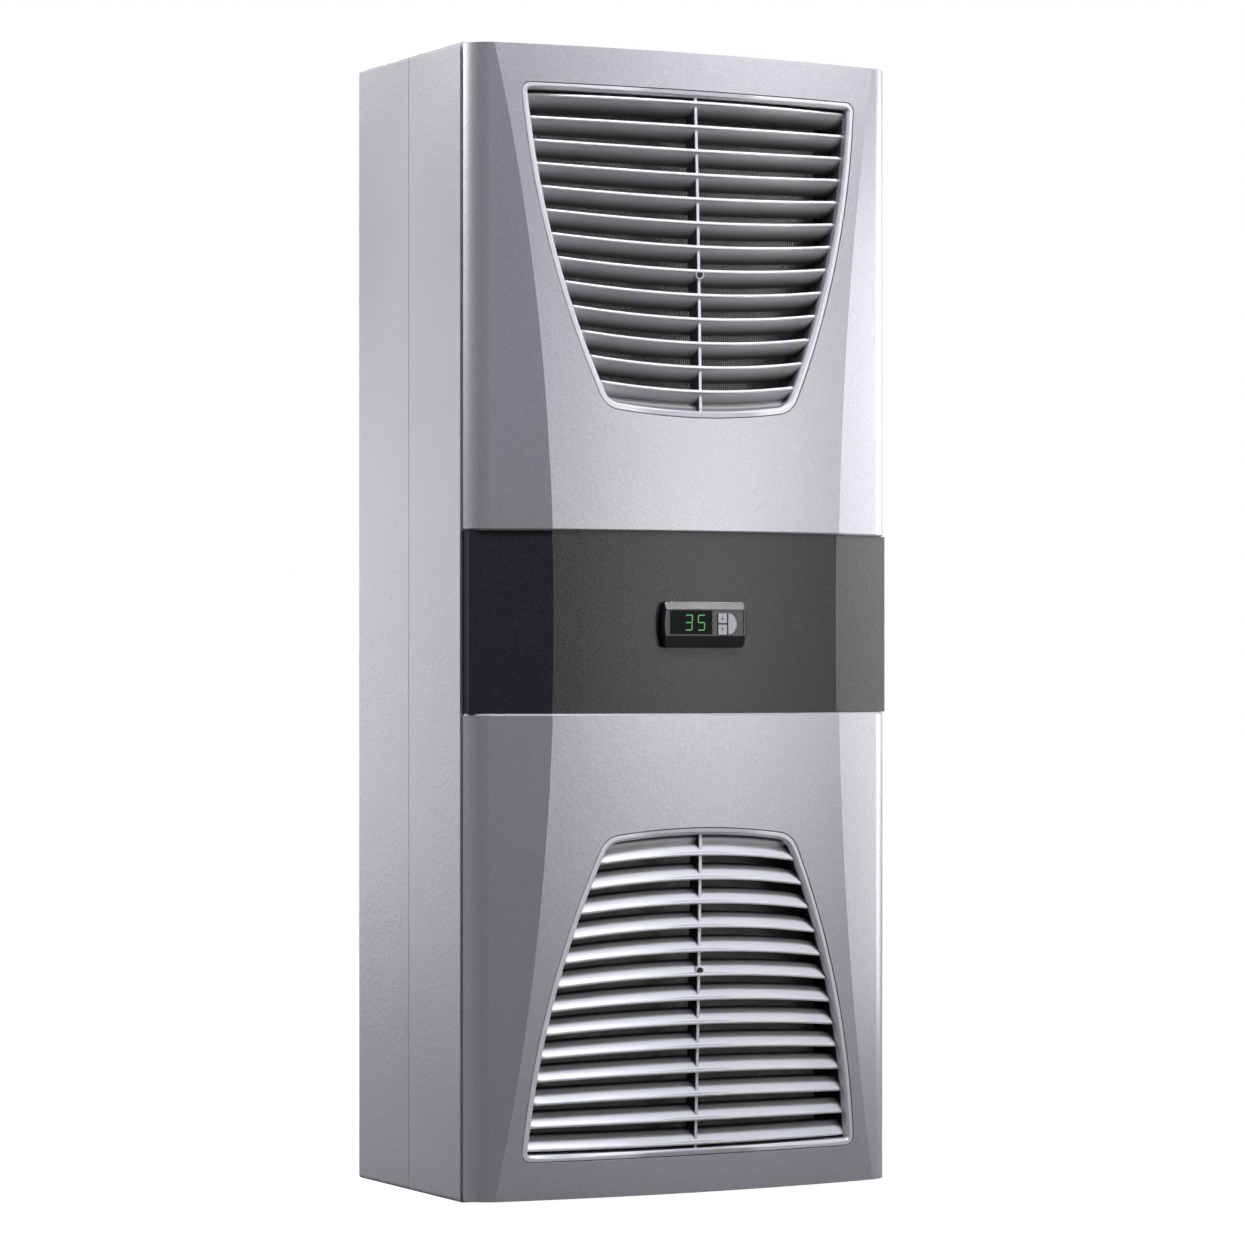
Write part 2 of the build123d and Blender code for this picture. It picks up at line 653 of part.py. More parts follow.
guard_radius = INTAKE_RADIUS - INLET_WALL - FIT
with BuildPart() as inlet_guard:
    with BuildSketch(facing(back_y)):
        with Locations((0, intake_z)):
            for ring in range(GUARD_RINGS, 0, -1):
                ring_radius = guard_radius * ring / GUARD_RINGS
                Circle(ring_radius)
                Circle(ring_radius - GUARD_WIRE, mode=Mode.SUBTRACT)
    extrude(amount=GUARD_WIRE)
    with BuildSketch(facing(back_y)):
        with Locations((0, intake_z)):
            Rectangle(2 * guard_radius - GUARD_WIRE, GUARD_WIRE)
            Rectangle(GUARD_WIRE, 2 * guard_radius - GUARD_WIRE)
    extrude(amount=GUARD_WIRE)
save(inlet_guard, "inlet_guard")

impeller_rear = back_y - INLET_LENGTH - IMPELLER_CLEARANCE
impeller_front = impeller_rear - IMPELLER_LENGTH
blade_root = IMPELLER_HUB_RADIUS - IMPELLER_BLADE
blade_tip = IMPELLER_RADIUS - IMPELLER_BLADE
camber = (blade_tip - blade_root) / 4
with BuildSketch() as impeller_blade:
    with BuildLine():
        leading = ThreePointArc((blade_root, 0), ((blade_root + blade_tip) / 2, camber), (blade_tip, 0))
        trailing = ThreePointArc(
            (blade_root, -IMPELLER_BLADE), ((blade_root + blade_tip) / 2, camber - IMPELLER_BLADE),
            (blade_tip, -IMPELLER_BLADE),
        )
        Line(leading @ 0, trailing @ 0)
        Line(leading @ 1, trailing @ 1)
    make_face()
with BuildPart() as fan_impeller:
    with BuildSketch(facing(impeller_front + IMPELLER_PLATE)):
        with Locations((0, intake_z)):
            Circle(IMPELLER_RADIUS)
    extrude(amount=IMPELLER_PLATE)
    with BuildSketch(facing(impeller_rear)):
        with Locations((0, intake_z)):
            Circle(IMPELLER_RADIUS)
            Circle(IMPELLER_RADIUS - IMPELLER_SHROUD_WIDTH, mode=Mode.SUBTRACT)
    extrude(amount=IMPELLER_PLATE)
    with BuildSketch(facing(impeller_rear - IMPELLER_LENGTH / 4)):
        with Locations((0, intake_z)):
            Circle(IMPELLER_HUB_RADIUS)
    extrude(amount=3 * IMPELLER_LENGTH / 4)
    with BuildSketch(facing(impeller_rear)):
        with Locations((0, intake_z)):
            with PolarLocations(0, IMPELLER_BLADES):
                add(impeller_blade.sketch)
    extrude(amount=IMPELLER_LENGTH)
save(fan_impeller, "fan_impeller")

with BuildPart() as fan_motor:
    with BuildSketch(facing(impeller_front)):
        with Locations((0, intake_z)):
            Circle(MOTOR_RADIUS)
    extrude(amount=MOTOR_LENGTH)
save(fan_motor, "fan_motor")

bracket_y = impeller_front - MOTOR_LENGTH
with BuildPart() as fan_bracket:
    with BuildSketch(Plane.XY.offset(intake_z - BRACKET_HEIGHT / 2)):
        with BuildLine():
            half_span = IMPELLER_RADIUS + BRACKET_CLEARANCE
            Polyline(
                (-half_span - BRACKET_FOOT, panel_y), (-half_span, panel_y), (-half_span, bracket_y),
                (half_span, bracket_y), (half_span, panel_y), (half_span + BRACKET_FOOT, panel_y),
                (half_span + BRACKET_FOOT, panel_y - BRACKET_SHEET),
                (half_span + BRACKET_SHEET, panel_y - BRACKET_SHEET),
                (half_span + BRACKET_SHEET, bracket_y - BRACKET_SHEET),
                (-half_span - BRACKET_SHEET, bracket_y - BRACKET_SHEET),
                (-half_span - BRACKET_SHEET, panel_y - BRACKET_SHEET),
                (-half_span - BRACKET_FOOT, panel_y - BRACKET_SHEET), close=True,
            )
        make_face()
    extrude(amount=BRACKET_HEIGHT)
save(fan_bracket, "fan_bracket")

# Evaporator behind the outlet, held by its end plates on the back panel
evaporator_rear = panel_y - EVAPORATOR_GAP
evaporator_front = evaporator_rear - EVAPORATOR_DEPTH
evaporator_half = outlet_width / 2 + EVAPORATOR_MARGIN
evaporator_tall = OUTLET_TALL + 2 * EVAPORATOR_MARGIN
with BuildPart() as evaporator_fins:
    with BuildSketch(facing(evaporator_rear)):
        with Locations((0, OUTLET_HEIGHT)):
            Rectangle(2 * evaporator_half, evaporator_tall)
    extrude(amount=EVAPORATOR_DEPTH)
save(evaporator_fins, "evaporator_fins")

plate_offset = evaporator_half + COIL_PLATE / 2
for side, plate_x in (("left", -plate_offset), ("right", plate_offset)):
    with BuildPart() as evaporator_plate:
        with BuildSketch(facing(panel_y)):
            with Locations((plate_x, OUTLET_HEIGHT)):
                Rectangle(COIL_PLATE, evaporator_tall)
        extrude(amount=panel_y - evaporator_front)
    save(evaporator_plate, f"evaporator_{side}_plate")
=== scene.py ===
"""Looks of a wall-mounted enclosure cooling unit: finishes, fins, small fittings, light and camera."""
import logging
import math
from dataclasses import dataclass, replace
from enum import Enum
from typing import Iterable, Sequence

import bmesh
import bpy
from mathutils import Matrix, Vector
from mathutils.bvhtree import BVHTree


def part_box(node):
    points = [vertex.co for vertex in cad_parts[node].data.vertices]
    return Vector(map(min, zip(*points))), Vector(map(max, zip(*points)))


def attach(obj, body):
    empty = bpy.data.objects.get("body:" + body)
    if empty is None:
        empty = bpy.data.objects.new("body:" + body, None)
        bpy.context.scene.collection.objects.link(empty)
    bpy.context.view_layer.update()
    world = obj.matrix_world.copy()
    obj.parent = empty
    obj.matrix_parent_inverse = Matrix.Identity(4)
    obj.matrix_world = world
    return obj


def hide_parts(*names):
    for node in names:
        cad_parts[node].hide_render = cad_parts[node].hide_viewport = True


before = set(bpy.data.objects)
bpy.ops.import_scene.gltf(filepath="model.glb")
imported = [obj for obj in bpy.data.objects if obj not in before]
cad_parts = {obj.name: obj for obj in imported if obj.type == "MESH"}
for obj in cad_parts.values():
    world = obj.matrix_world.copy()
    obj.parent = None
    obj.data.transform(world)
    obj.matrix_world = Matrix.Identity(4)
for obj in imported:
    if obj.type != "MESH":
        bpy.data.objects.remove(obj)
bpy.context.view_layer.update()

LOG = logging.getLogger("cooling_unit")
MM = 0.001
UNIT = "unit"

Colour = tuple[float, float, float]
Place = tuple[float, float, float]
Span = tuple[float, float]
Values = dict[str, float | tuple[float, ...]]
Mesh = bmesh.types.BMesh
Node = bpy.types.Node
Socket = bpy.types.NodeSocket
Tree = bpy.types.NodeTree
Feed = Socket | float

# Numbers of the colour sockets of a Mix node
MIX_GROUND, MIX_OVER, MIX_RESULT = 6, 7, 2

COOL: Colour = (0.88, 0.90, 1.0)
WARM: Colour = (1.0, 0.99, 0.97)
WHITE: Colour = (1.0, 1.0, 1.0)


class Effect(Enum):
    """Effects that several finishes share, by the name of their node group."""

    POWDER = "powder_grain"
    MOULDED = "moulded_grain"
    ROLLED = "rolled_grain"
    FOAM = "foam_cells"
    DRIFT = "tone_drift"
    EDGES = "soft_edges"
    TRIANGLE = "printed_triangle"
    PAINTED_SHADE = "recess_depth"


class Side(Enum):
    """Sides of the unit, as the direction that faces away from it."""

    FRONT = (0.0, -1.0, 0.0)
    REAR = (0.0, 1.0, 0.0)


def opaque(colour: Colour) -> tuple[float, float, float, float]:
    """Return a colour with full alpha."""
    return (*colour, 1.0)


def add_object(name: str, data: bpy.types.ID) -> bpy.types.Object:
    """Put a new object with this data into the scene.

    Args:
        name: Name of the object.
        data: Its mesh, light or camera.

    Returns:
        The new object.
    """
    made = bpy.data.objects.new(name, data)
    bpy.context.scene.collection.objects.link(made)
    return made


class GroupBuilder:
    """Builds a shader node group with named sockets, one node at a time."""

    def __init__(self, name: str, inputs: Values, outputs: dict[str, str]) -> None:
        """Start an empty group.

        Args:
            name: Name of the group.
            inputs: Inputs and their default values, a tuple for a colour.
            outputs: Output names and their socket types.
        """
        self.tree = bpy.data.node_groups.new(name, "ShaderNodeTree")
        for label, value in inputs.items():
            kind = "NodeSocketColor" if isinstance(value, tuple) else "NodeSocketFloat"
            made = self.tree.interface.new_socket(name=label, in_out="INPUT", socket_type=kind)
            made.default_value = value
        for label, kind in outputs.items():
            self.tree.interface.new_socket(name=label, in_out="OUTPUT", socket_type=kind)
        self.entry = self.tree.nodes.new("NodeGroupInput")
        self.exit = self.tree.nodes.new("NodeGroupOutput")

    def node(self, kind: str, **settings: object) -> Node:
        """Add a node and set its properties.

        Args:
            kind: Blender's node type.
            settings: Node properties by name.

        Returns:
            The new node.
        """
        made = self.tree.nodes.new(kind)
        for key, value in settings.items():
            setattr(made, key, value)
        return made

    def link(self, source: Socket, target: Socket) -> None:
        """Join two sockets."""
        self.tree.links.new(source, target)

    def finish(self, outputs: dict[str, Socket]) -> Tree:
        """Join the group's outputs.

        Args:
            outputs: Socket that feeds each output, by the output's name.

        Returns:
            The group's tree.
        """
        for label, value in outputs.items():
            self.link(value, self.exit.inputs[label])
        return self.tree

    def feed(self, value: Feed, target: Socket) -> None:
        """Give an input the value of another socket, or a number.

        Args:
            value: Socket or number.
            target: The input.
        """
        if isinstance(value, Socket):
            self.link(value, target)
        else:
            target.default_value = value

    def place(self) -> Socket:
        """Return the socket of the place on the object, in metres."""
        return self.node("ShaderNodeTexCoord").outputs["Object"]

    def parts(self, vector: Socket) -> bpy.types.NodeOutputs:
        """Split a vector into X, Y and Z.

        Args:
            vector: Socket of the vector.

        Returns:
            The sockets, by letter.
        """
        made = self.node("ShaderNodeSeparateXYZ")
        self.link(vector, made.inputs[0])
        return made.outputs

    def math(self, operation: str, first: Feed, second: Feed = 0.0) -> Socket:
        """Add a math node.

        Args:
            operation: Blender's name of the operation.
            first: Socket or number for the first input.
            second: Socket or number for the second input, where the operation has one.

        Returns:
            The result's socket.
        """
        made = self.node("ShaderNodeMath", operation=operation)
        self.feed(first, made.inputs[0])
        self.feed(second, made.inputs[1])
        return made.outputs[0]

    def ramp(self, value: Socket, start: Feed, end: Feed) -> Socket:
        """Add a smooth step.

        Args:
            value: Socket of the value that it follows.
            start: Socket or number where the result is 0.
            end: Socket or number where the result is 1.

        Returns:
            The result's socket.
        """
        made = self.node("ShaderNodeMapRange", interpolation_type="SMOOTHSTEP")
        self.link(value, made.inputs["Value"])
        self.feed(start, made.inputs["From Min"])
        self.feed(end, made.inputs["From Max"])
        return made.outputs["Result"]

    def noise(self, scale: Feed, detail: float, coordinates: Socket) -> Socket:
        """Add a noise texture.

        Args:
            scale: Socket or number for its scale, per metre.
            detail: Octaves of finer noise.
            coordinates: Socket that gives the place on the object.

        Returns:
            The socket of the noise's value.
        """
        made = self.node("ShaderNodeTexNoise")
        made.inputs["Detail"].default_value = detail
        self.link(coordinates, made.inputs["Vector"])
        self.feed(scale, made.inputs["Scale"])
        return made.outputs[0]


class SurfaceEffects:
    """Node groups that several finishes share, each built on first use."""

    HEIGHT = {"Height": "NodeSocketFloat"}
    COARSE_SCALE = 0.36
    COARSE_SHARE = 0.7
    ROLLED_STRETCH = (1.0, 1.0, 0.03)
    EDGE_SAMPLES = 2
    WALL_SLANT: Span = (0.6, 0.85)
    SILL_FADE = 2.0 * MM

    def __init__(self) -> None:
        """Start with no groups built."""
        self._built: dict[Effect, Tree] = {}

    def group(self, effect: Effect) -> Tree:
        """Return the node group of an effect.

        Args:
            effect: The effect.

        Returns:
            The group, which is built on first use.
        """
        makers = {
            Effect.POWDER: self._powder,
            Effect.MOULDED: self._moulded,
            Effect.ROLLED: self._rolled,
            Effect.FOAM: self._foam,
            Effect.DRIFT: self._drift,
            Effect.EDGES: self._edges,
            Effect.TRIANGLE: self._triangle,
            Effect.PAINTED_SHADE: self._painted_shade_group,
        }
        if effect not in self._built:
            self._built[effect] = makers[effect](effect.value)
        return self._built[effect]

    def place(self, tree: Tree, effect: Effect, values: Values) -> Node:
        """Place an effect in a material.

        Args:
            tree: Node tree of the material.
            effect: The effect.
            values: Inputs of its group, by name.

        Returns:
            The group's node.
        """
        made = tree.nodes.new("ShaderNodeGroup")
        made.node_tree = self.group(effect)
        for label, value in values.items():
            made.inputs[label].default_value = value
        return made

    def _edges(self, name: str) -> Tree:
        """Make normals that round the edges of sheet and mouldings.

        Args:
            name: Name of the group.

        Returns:
            The group's tree.
        """
        build = GroupBuilder(name, {"Radius": 0.6 * MM}, {"Normal": "NodeSocketVector"})
        bevel = build.node("ShaderNodeBevel", samples=self.EDGE_SAMPLES)
        build.link(build.entry.outputs["Radius"], bevel.inputs["Radius"])
        return build.finish({"Normal": bevel.outputs["Normal"]})

    def _triangle(self, name: str) -> Tree:
        """Make the mask of a triangle printed on a key.

        Args:
            name: Name of the group.

        Returns:
            The group's tree.
        """
        sizes = {"Centre X": 0.0, "Base Z": 0.0, "Half Width": 2.0 * MM, "Rise": 3.0 * MM}
        build = GroupBuilder(name, sizes, {"Mask": "NodeSocketFloat"})
        at, enter = build.parts(build.place()), build.entry.outputs
        across = build.math("SUBTRACT", at["X"], enter["Centre X"])
        spread = build.math("DIVIDE", build.math("ABSOLUTE", across), enter["Half Width"])
        climb = build.math("DIVIDE", build.math("SUBTRACT", at["Z"], enter["Base Z"]), enter["Rise"])
        flank = build.math("LESS_THAN", build.math("ADD", spread, climb), 1.0)
        mask = build.math("MULTIPLY", flank, build.math("GREATER_THAN", climb, 0.0))
        return build.finish({"Mask": mask})

    def _painted_shade_group(self, name: str) -> Tree:
        """Make a mask of painted shade that grows behind a bowed front, sooner on walls and sill, and one
        of the rim.

        Args:
            name: Name of the group.

        Returns:
            The group's tree.
        """
        sizes = {
            "Front": 0.0, "Middle Z": 0.0, "Bow": 0.0, "Sweep": 0.0, "Near": 2.0 * MM, "Far": 15.0 * MM,
            "Wall Near": 1.0 * MM, "Wall Far": 5.0 * MM, "Sill": 200.0 * MM, "Arch": 0.0,
            "Rim Near": 0.5 * MM, "Rim Far": 1.5 * MM,
        }
        build = GroupBuilder(name, sizes, {"Mask": "NodeSocketFloat", "Rim": "NodeSocketFloat"})
        at, enter = build.parts(build.place()), build.entry.outputs
        above = build.math("SUBTRACT", at["Z"], enter["Middle Z"])
        bowed = build.math("MULTIPLY", build.math("MULTIPLY", above, above), enter["Bow"])
        aside = build.math("MULTIPLY", at["X"], at["X"])
        swept = build.math("MULTIPLY", aside, enter["Sweep"])
        proud = build.math("SUBTRACT", at["Y"], build.math("ADD", enter["Front"], bowed))
        rim = build.ramp(proud, enter["Rim Far"], enter["Rim Near"])
        depth = build.math("SUBTRACT", proud, swept)
        deep = build.ramp(depth, enter["Near"], enter["Far"])
        inside = build.ramp(depth, enter["Wall Near"], enter["Wall Far"])
        facing = build.parts(build.node("ShaderNodeNewGeometry").outputs["True Normal"])
        wall = build.ramp(build.math("ABSOLUTE", facing["X"]), *self.WALL_SLANT)
        level = build.math("SUBTRACT", above, build.math("MULTIPLY", aside, enter["Arch"]))
        full = build.math("SUBTRACT", enter["Sill"], self.SILL_FADE)
        sill = build.ramp(build.math("ABSOLUTE", level), enter["Sill"], full)
        beside = build.math("MULTIPLY", inside, build.math("MAXIMUM", wall, sill))
        return build.finish({"Mask": build.math("MAXIMUM", deep, beside), "Rim": rim})

    def _powder(self, name: str) -> Tree:
        """Make rounded bumps of two sizes, as on a textured powder coat.

        Args:
            name: Name of the group.

        Returns:
            The group's tree.
        """
        build = GroupBuilder(name, {"Scale": 700.0}, self.HEIGHT)
        at, scale = build.place(), build.entry.outputs["Scale"]
        fine = build.noise(scale, 1.0, at)
        coarse = build.noise(build.math("MULTIPLY", scale, self.COARSE_SCALE), 0.0, at)
        height = build.math("ADD", build.math("MULTIPLY", coarse, self.COARSE_SHARE), fine)
        return build.finish({"Height": height})

    def _moulded(self, name: str) -> Tree:
        """Make a fine spark-eroded grain, as on a moulding.

        Args:
            name: Name of the group.

        Returns:
            The group's tree.
        """
        build = GroupBuilder(name, {"Scale": 1200.0}, self.HEIGHT)
        fine = build.noise(build.entry.outputs["Scale"], 1.0, build.place())
        return build.finish({"Height": fine})

    def _rolled(self, name: str) -> Tree:
        """Make faint lines along the height of a sheet, as rolling leaves them.

        Args:
            name: Name of the group.

        Returns:
            The group's tree.
        """
        build = GroupBuilder(name, {"Scale": 900.0}, self.HEIGHT)
        stretch = build.node("ShaderNodeMapping")
        stretch.inputs["Scale"].default_value = self.ROLLED_STRETCH
        build.link(build.place(), stretch.inputs["Vector"])
        lines = build.noise(build.entry.outputs["Scale"], 1.0, stretch.outputs["Vector"])
        return build.finish({"Height": lines})

    def _foam(self, name: str) -> Tree:
        """Make open cells, as on a cut foam strip.

        Args:
            name: Name of the group.

        Returns:
            The group's tree.
        """
        build = GroupBuilder(name, {"Scale": 900.0}, self.HEIGHT)
        cells = build.node("ShaderNodeTexVoronoi", feature="F1")
        build.link(build.place(), cells.inputs["Vector"])
        build.link(build.entry.outputs["Scale"], cells.inputs["Scale"])
        return build.finish({"Height": cells.outputs["Distance"]})

    def _drift(self, name: str) -> Tree:
        """Make a slow colour and roughness change with a fine speckle on top.

        Args:
            name: Name of the group.

        Returns:
            The group's tree.
        """
        looks = {
            "Scale": 6.0, "Speckle Scale": 900.0, "Speckle": 0.2, "Rough Low": 0.4, "Rough High": 0.5,
            "Light": opaque(WHITE), "Dark": opaque(WHITE),
        }
        build = GroupBuilder(name, looks, {"Colour": "NodeSocketColor", "Roughness": "NodeSocketFloat"})
        at, enter = build.place(), build.entry.outputs
        slow = build.noise(enter["Scale"], 1.0, at)
        speck = build.noise(enter["Speckle Scale"], 0.0, at)
        rest = build.math("MULTIPLY", slow, build.math("SUBTRACT", 1.0, enter["Speckle"]))
        blend = build.math("ADD", rest, build.math("MULTIPLY", speck, enter["Speckle"]))
        mix = build.node("ShaderNodeMix", data_type="RGBA")
        build.link(blend, mix.inputs["Factor"])
        build.link(enter["Dark"], mix.inputs[MIX_GROUND])
        build.link(enter["Light"], mix.inputs[MIX_OVER])
        rough = build.node("ShaderNodeMapRange")
        build.link(slow, rough.inputs["Value"])
        build.link(enter["Rough Low"], rough.inputs["To Min"])
        build.link(enter["Rough High"], rough.inputs["To Max"])
        return build.finish({"Colour": mix.outputs[MIX_RESULT], "Roughness": rough.outputs["Result"]})


@dataclass(frozen=True)
class PrintedMark:
    """A plain triangle printed on a key; a negative rise points it down."""

    centre_x: float
    base_z: float
    half_width: float
    rise: float
    ink: Colour = (0.16, 0.16, 0.17)

    def values(self) -> Values:
        """Return the inputs of the triangle's group."""
        return {
            "Centre X": self.centre_x, "Base Z": self.base_z,
            "Half Width": self.half_width, "Rise": self.rise,
        }


@dataclass(frozen=True)
class Shade:
    """Depths behind the front where the painted shade starts and is full, and its lightness."""

    near: float
    far: float
    tone: float


@dataclass(frozen=True)
class PaintedRecessShade:
    """Painted shade that deepens behind a bowed front, and the tone of the rim around it."""

    front: float
    middle_z: float
    bow: float
    sweep: float
    sill: float
    arch: float
    shade: Shade
    wall: Span = (0.8 * MM, 4.0 * MM)
    rim: Span = (0.2 * MM, 1.3 * MM)
    rim_tone: Colour = (0.50, 0.50, 0.535)

    def values(self) -> Values:
        """Return the inputs of the painted shade's group."""
        return {
            "Front": self.front, "Middle Z": self.middle_z, "Bow": self.bow, "Sweep": self.sweep,
            "Near": self.shade.near, "Far": self.shade.far, "Sill": self.sill, "Arch": self.arch,
            "Wall Near": self.wall[0], "Wall Far": self.wall[1],
            "Rim Near": self.rim[0], "Rim Far": self.rim[1],
        }


@dataclass(frozen=True)
class Finish:
    """A finish of the unit: its colours, gloss and surface structure, with any printed mark and any
    painted shade laid on its colour.
    """

    name: str
    light: Colour
    dark: Colour
    roughness: Span
    grain: Effect
    grain_scale: float
    grain_depth: float
    metallic: float = 0.0
    specular: float = 0.5
    drift_scale: float = 6.0
    speckle: float = 0.2
    glow: Colour = (0.0, 0.0, 0.0)
    glow_strength: float = 0.0
    edge_radius: float = 0.0
    mark: PrintedMark | None = None
    recess: PaintedRecessShade | None = None

    def material(self, effects: SurfaceEffects) -> bpy.types.Material:
        """Return the material of this finish, built on first use.

        Args:
            effects: The shared node groups.

        Returns:
            The material.
        """
        found = bpy.data.materials.get(self.name)
        if found:
            return found
        made = bpy.data.materials.new(self.name)
        made.use_nodes = True
        tree = made.node_tree
        shader = tree.nodes["Principled BSDF"]
        shader.inputs["Metallic"].default_value = self.metallic
        shader.inputs["Specular IOR Level"].default_value = self.specular
        shader.inputs["Emission Color"].default_value = opaque(self.glow)
        shader.inputs["Emission Strength"].default_value = self.glow_strength
        drift = effects.place(tree, Effect.DRIFT, {
            "Scale": self.drift_scale, "Speckle Scale": self.grain_scale, "Speckle": self.speckle,
            "Rough Low": self.roughness[0], "Rough High": self.roughness[1],
            "Light": opaque(self.light), "Dark": opaque(self.dark),
        })
        colour = drift.outputs["Colour"]
        if self.mark:
            shape = effects.place(tree, Effect.TRIANGLE, self.mark.values())
            colour = self._lay(tree, colour, self.mark.ink, shape.outputs["Mask"])
        # Painted shade: darker deep behind the grille's front, on its inner walls and towards the sill; a
        # grey tone on the rim
        if self.recess:
            depth = effects.place(tree, Effect.PAINTED_SHADE, self.recess.values())
            colour = self._lay(tree, colour, self.recess.rim_tone, depth.outputs["Rim"])
            colour = self._lay(tree, colour, (self.recess.shade.tone,) * 3, depth.outputs["Mask"])
        tree.links.new(colour, shader.inputs["Base Color"])
        tree.links.new(drift.outputs["Roughness"], shader.inputs["Roughness"])
        grain = effects.place(tree, self.grain, {"Scale": self.grain_scale})
        bump = tree.nodes.new("ShaderNodeBump")
        bump.inputs["Distance"].default_value = self.grain_depth
        tree.links.new(grain.outputs["Height"], bump.inputs["Height"])
        if self.edge_radius:
            edges = effects.place(tree, Effect.EDGES, {"Radius": self.edge_radius})
            tree.links.new(edges.outputs["Normal"], bump.inputs["Normal"])
        tree.links.new(bump.outputs["Normal"], shader.inputs["Normal"])
        return made

    @staticmethod
    def _lay(tree: Tree, ground: Socket, over: Colour, mask: Socket) -> Socket:
        """Lay a colour over the ground colour where a mask is on.

        Args:
            tree: Node tree of the material.
            ground: Socket of the ground colour.
            over: The colour that is laid over it.
            mask: Socket of the mask.

        Returns:
            The socket of the blended colour.
        """
        mix = tree.nodes.new("ShaderNodeMix")
        mix.data_type = "RGBA"
        tree.links.new(mask, mix.inputs["Factor"])
        tree.links.new(ground, mix.inputs[MIX_GROUND])
        mix.inputs[MIX_OVER].default_value = opaque(over)
        return mix.outputs[MIX_RESULT]


HOUSING_PAINT = Finish(
    "housing_powder_coat", light=(0.56, 0.56, 0.60), dark=(0.44, 0.44, 0.475), roughness=(0.42, 0.5),
    grain=Effect.POWDER, grain_scale=620.0, grain_depth=0.2 * MM, metallic=0.5, speckle=0.6,
)
FASCIA_PAINT = Finish(
    "fascia_silver_paint", light=(0.60, 0.60, 0.642), dark=(0.44, 0.44, 0.473), roughness=(0.38, 0.44),
    grain=Effect.POWDER, grain_scale=700.0, grain_depth=0.08 * MM, metallic=0.5, speckle=0.85,
    edge_radius=0.6 * MM,
)
BAND_PAINT = Finish(
    "band_graphite", light=(0.042, 0.041, 0.048), dark=(0.005, 0.005, 0.007), roughness=(0.36, 0.42),
    grain=Effect.MOULDED, grain_scale=620.0, grain_depth=0.12 * MM, specular=0.5, speckle=0.85,
)
GRILLE_PAINT = Finish(
    "grille_silver_satin", light=(0.84, 0.84, 0.86), dark=(0.80, 0.80, 0.82), roughness=(0.34, 0.42),
    grain=Effect.MOULDED, grain_scale=1300.0, grain_depth=0.02 * MM, metallic=0.15, speckle=0.3,
    edge_radius=1.0 * MM,
)
# Lighter copy of the grille paint for the nose beads: painted highlight along the blades' noses
NOSE_PAINTED_HIGHLIGHT = replace(
    GRILLE_PAINT, name="blade_nose_painted_highlight", light=(0.96, 0.96, 0.97), dark=(0.93, 0.93, 0.94),
)
CONTROLLER_BLACK = Finish(
    "controller_black", light=(0.022, 0.022, 0.024), dark=(0.014, 0.014, 0.016), roughness=(0.22, 0.28),
    grain=Effect.MOULDED, grain_scale=2200.0, grain_depth=0.02 * MM, specular=0.3, edge_radius=0.5 * MM,
)
DISPLAY_SMOKE = Finish(
    "display_smoked_window", light=(0.004, 0.010, 0.006), dark=(0.002, 0.003, 0.003),
    roughness=(0.08, 0.12), grain=Effect.MOULDED, grain_scale=300.0, grain_depth=0.002 * MM,
    specular=0.02, drift_scale=120.0,
)
SEGMENT_GREEN = Finish(
    "segment_green", light=(0.03, 0.20, 0.05), dark=(0.02, 0.14, 0.03), roughness=(0.3, 0.35),
    grain=Effect.MOULDED, grain_scale=3000.0, grain_depth=0.004 * MM, glow=(0.12, 0.55, 0.17),
    glow_strength=0.42,
)
KEY_RUBBER = Finish(
    "key_grey_rubber", light=(0.52, 0.52, 0.54), dark=(0.42, 0.42, 0.44), roughness=(0.5, 0.6),
    grain=Effect.MOULDED, grain_scale=2400.0, grain_depth=0.03 * MM,
)
SCREW_BLACK = Finish(
    "screw_black_oxide", light=(0.035, 0.035, 0.037), dark=(0.02, 0.02, 0.022), roughness=(0.3, 0.42),
    grain=Effect.MOULDED, grain_scale=2400.0, grain_depth=0.01 * MM, metallic=0.6,
)
PIN_BRASS = Finish(
    "pin_brass", light=(0.72, 0.56, 0.28), dark=(0.58, 0.44, 0.2), roughness=(0.2, 0.3),
    grain=Effect.ROLLED, grain_scale=900.0, grain_depth=0.01 * MM, metallic=1.0, drift_scale=60.0,
)
BAFFLE_BLACK = Finish(
    "baffle_matt_black", light=(0.012, 0.012, 0.013), dark=(0.008, 0.008, 0.009), roughness=(0.65, 0.8),
    grain=Effect.POWDER, grain_scale=700.0, grain_depth=0.2 * MM,
)
FIN_ALUMINIUM = Finish(
    "fin_dark_aluminium", light=(0.46, 0.455, 0.45), dark=(0.30, 0.297, 0.295), roughness=(0.4, 0.55),
    grain=Effect.ROLLED, grain_scale=900.0, grain_depth=0.02 * MM, metallic=0.7, drift_scale=25.0,
)
TUBE_COPPER = Finish(
    "tube_copper", light=(0.36, 0.20, 0.13), dark=(0.22, 0.12, 0.08), roughness=(0.32, 0.45),
    grain=Effect.ROLLED, grain_scale=900.0, grain_depth=0.02 * MM, metallic=1.0, drift_scale=30.0,
)
GALVANISED = Finish(
    "galvanised_sheet", light=(0.56, 0.57, 0.58), dark=(0.40, 0.41, 0.43), roughness=(0.32, 0.5),
    grain=Effect.ROLLED, grain_scale=500.0, grain_depth=0.03 * MM, metallic=0.95, drift_scale=60.0,
)
GASKET_FOAM = Finish(
    "gasket_foam", light=(0.03, 0.03, 0.031), dark=(0.014, 0.014, 0.015), roughness=(0.8, 0.92),
    grain=Effect.FOAM, grain_scale=900.0, grain_depth=0.6 * MM, specular=0.2, speckle=0.6,
)
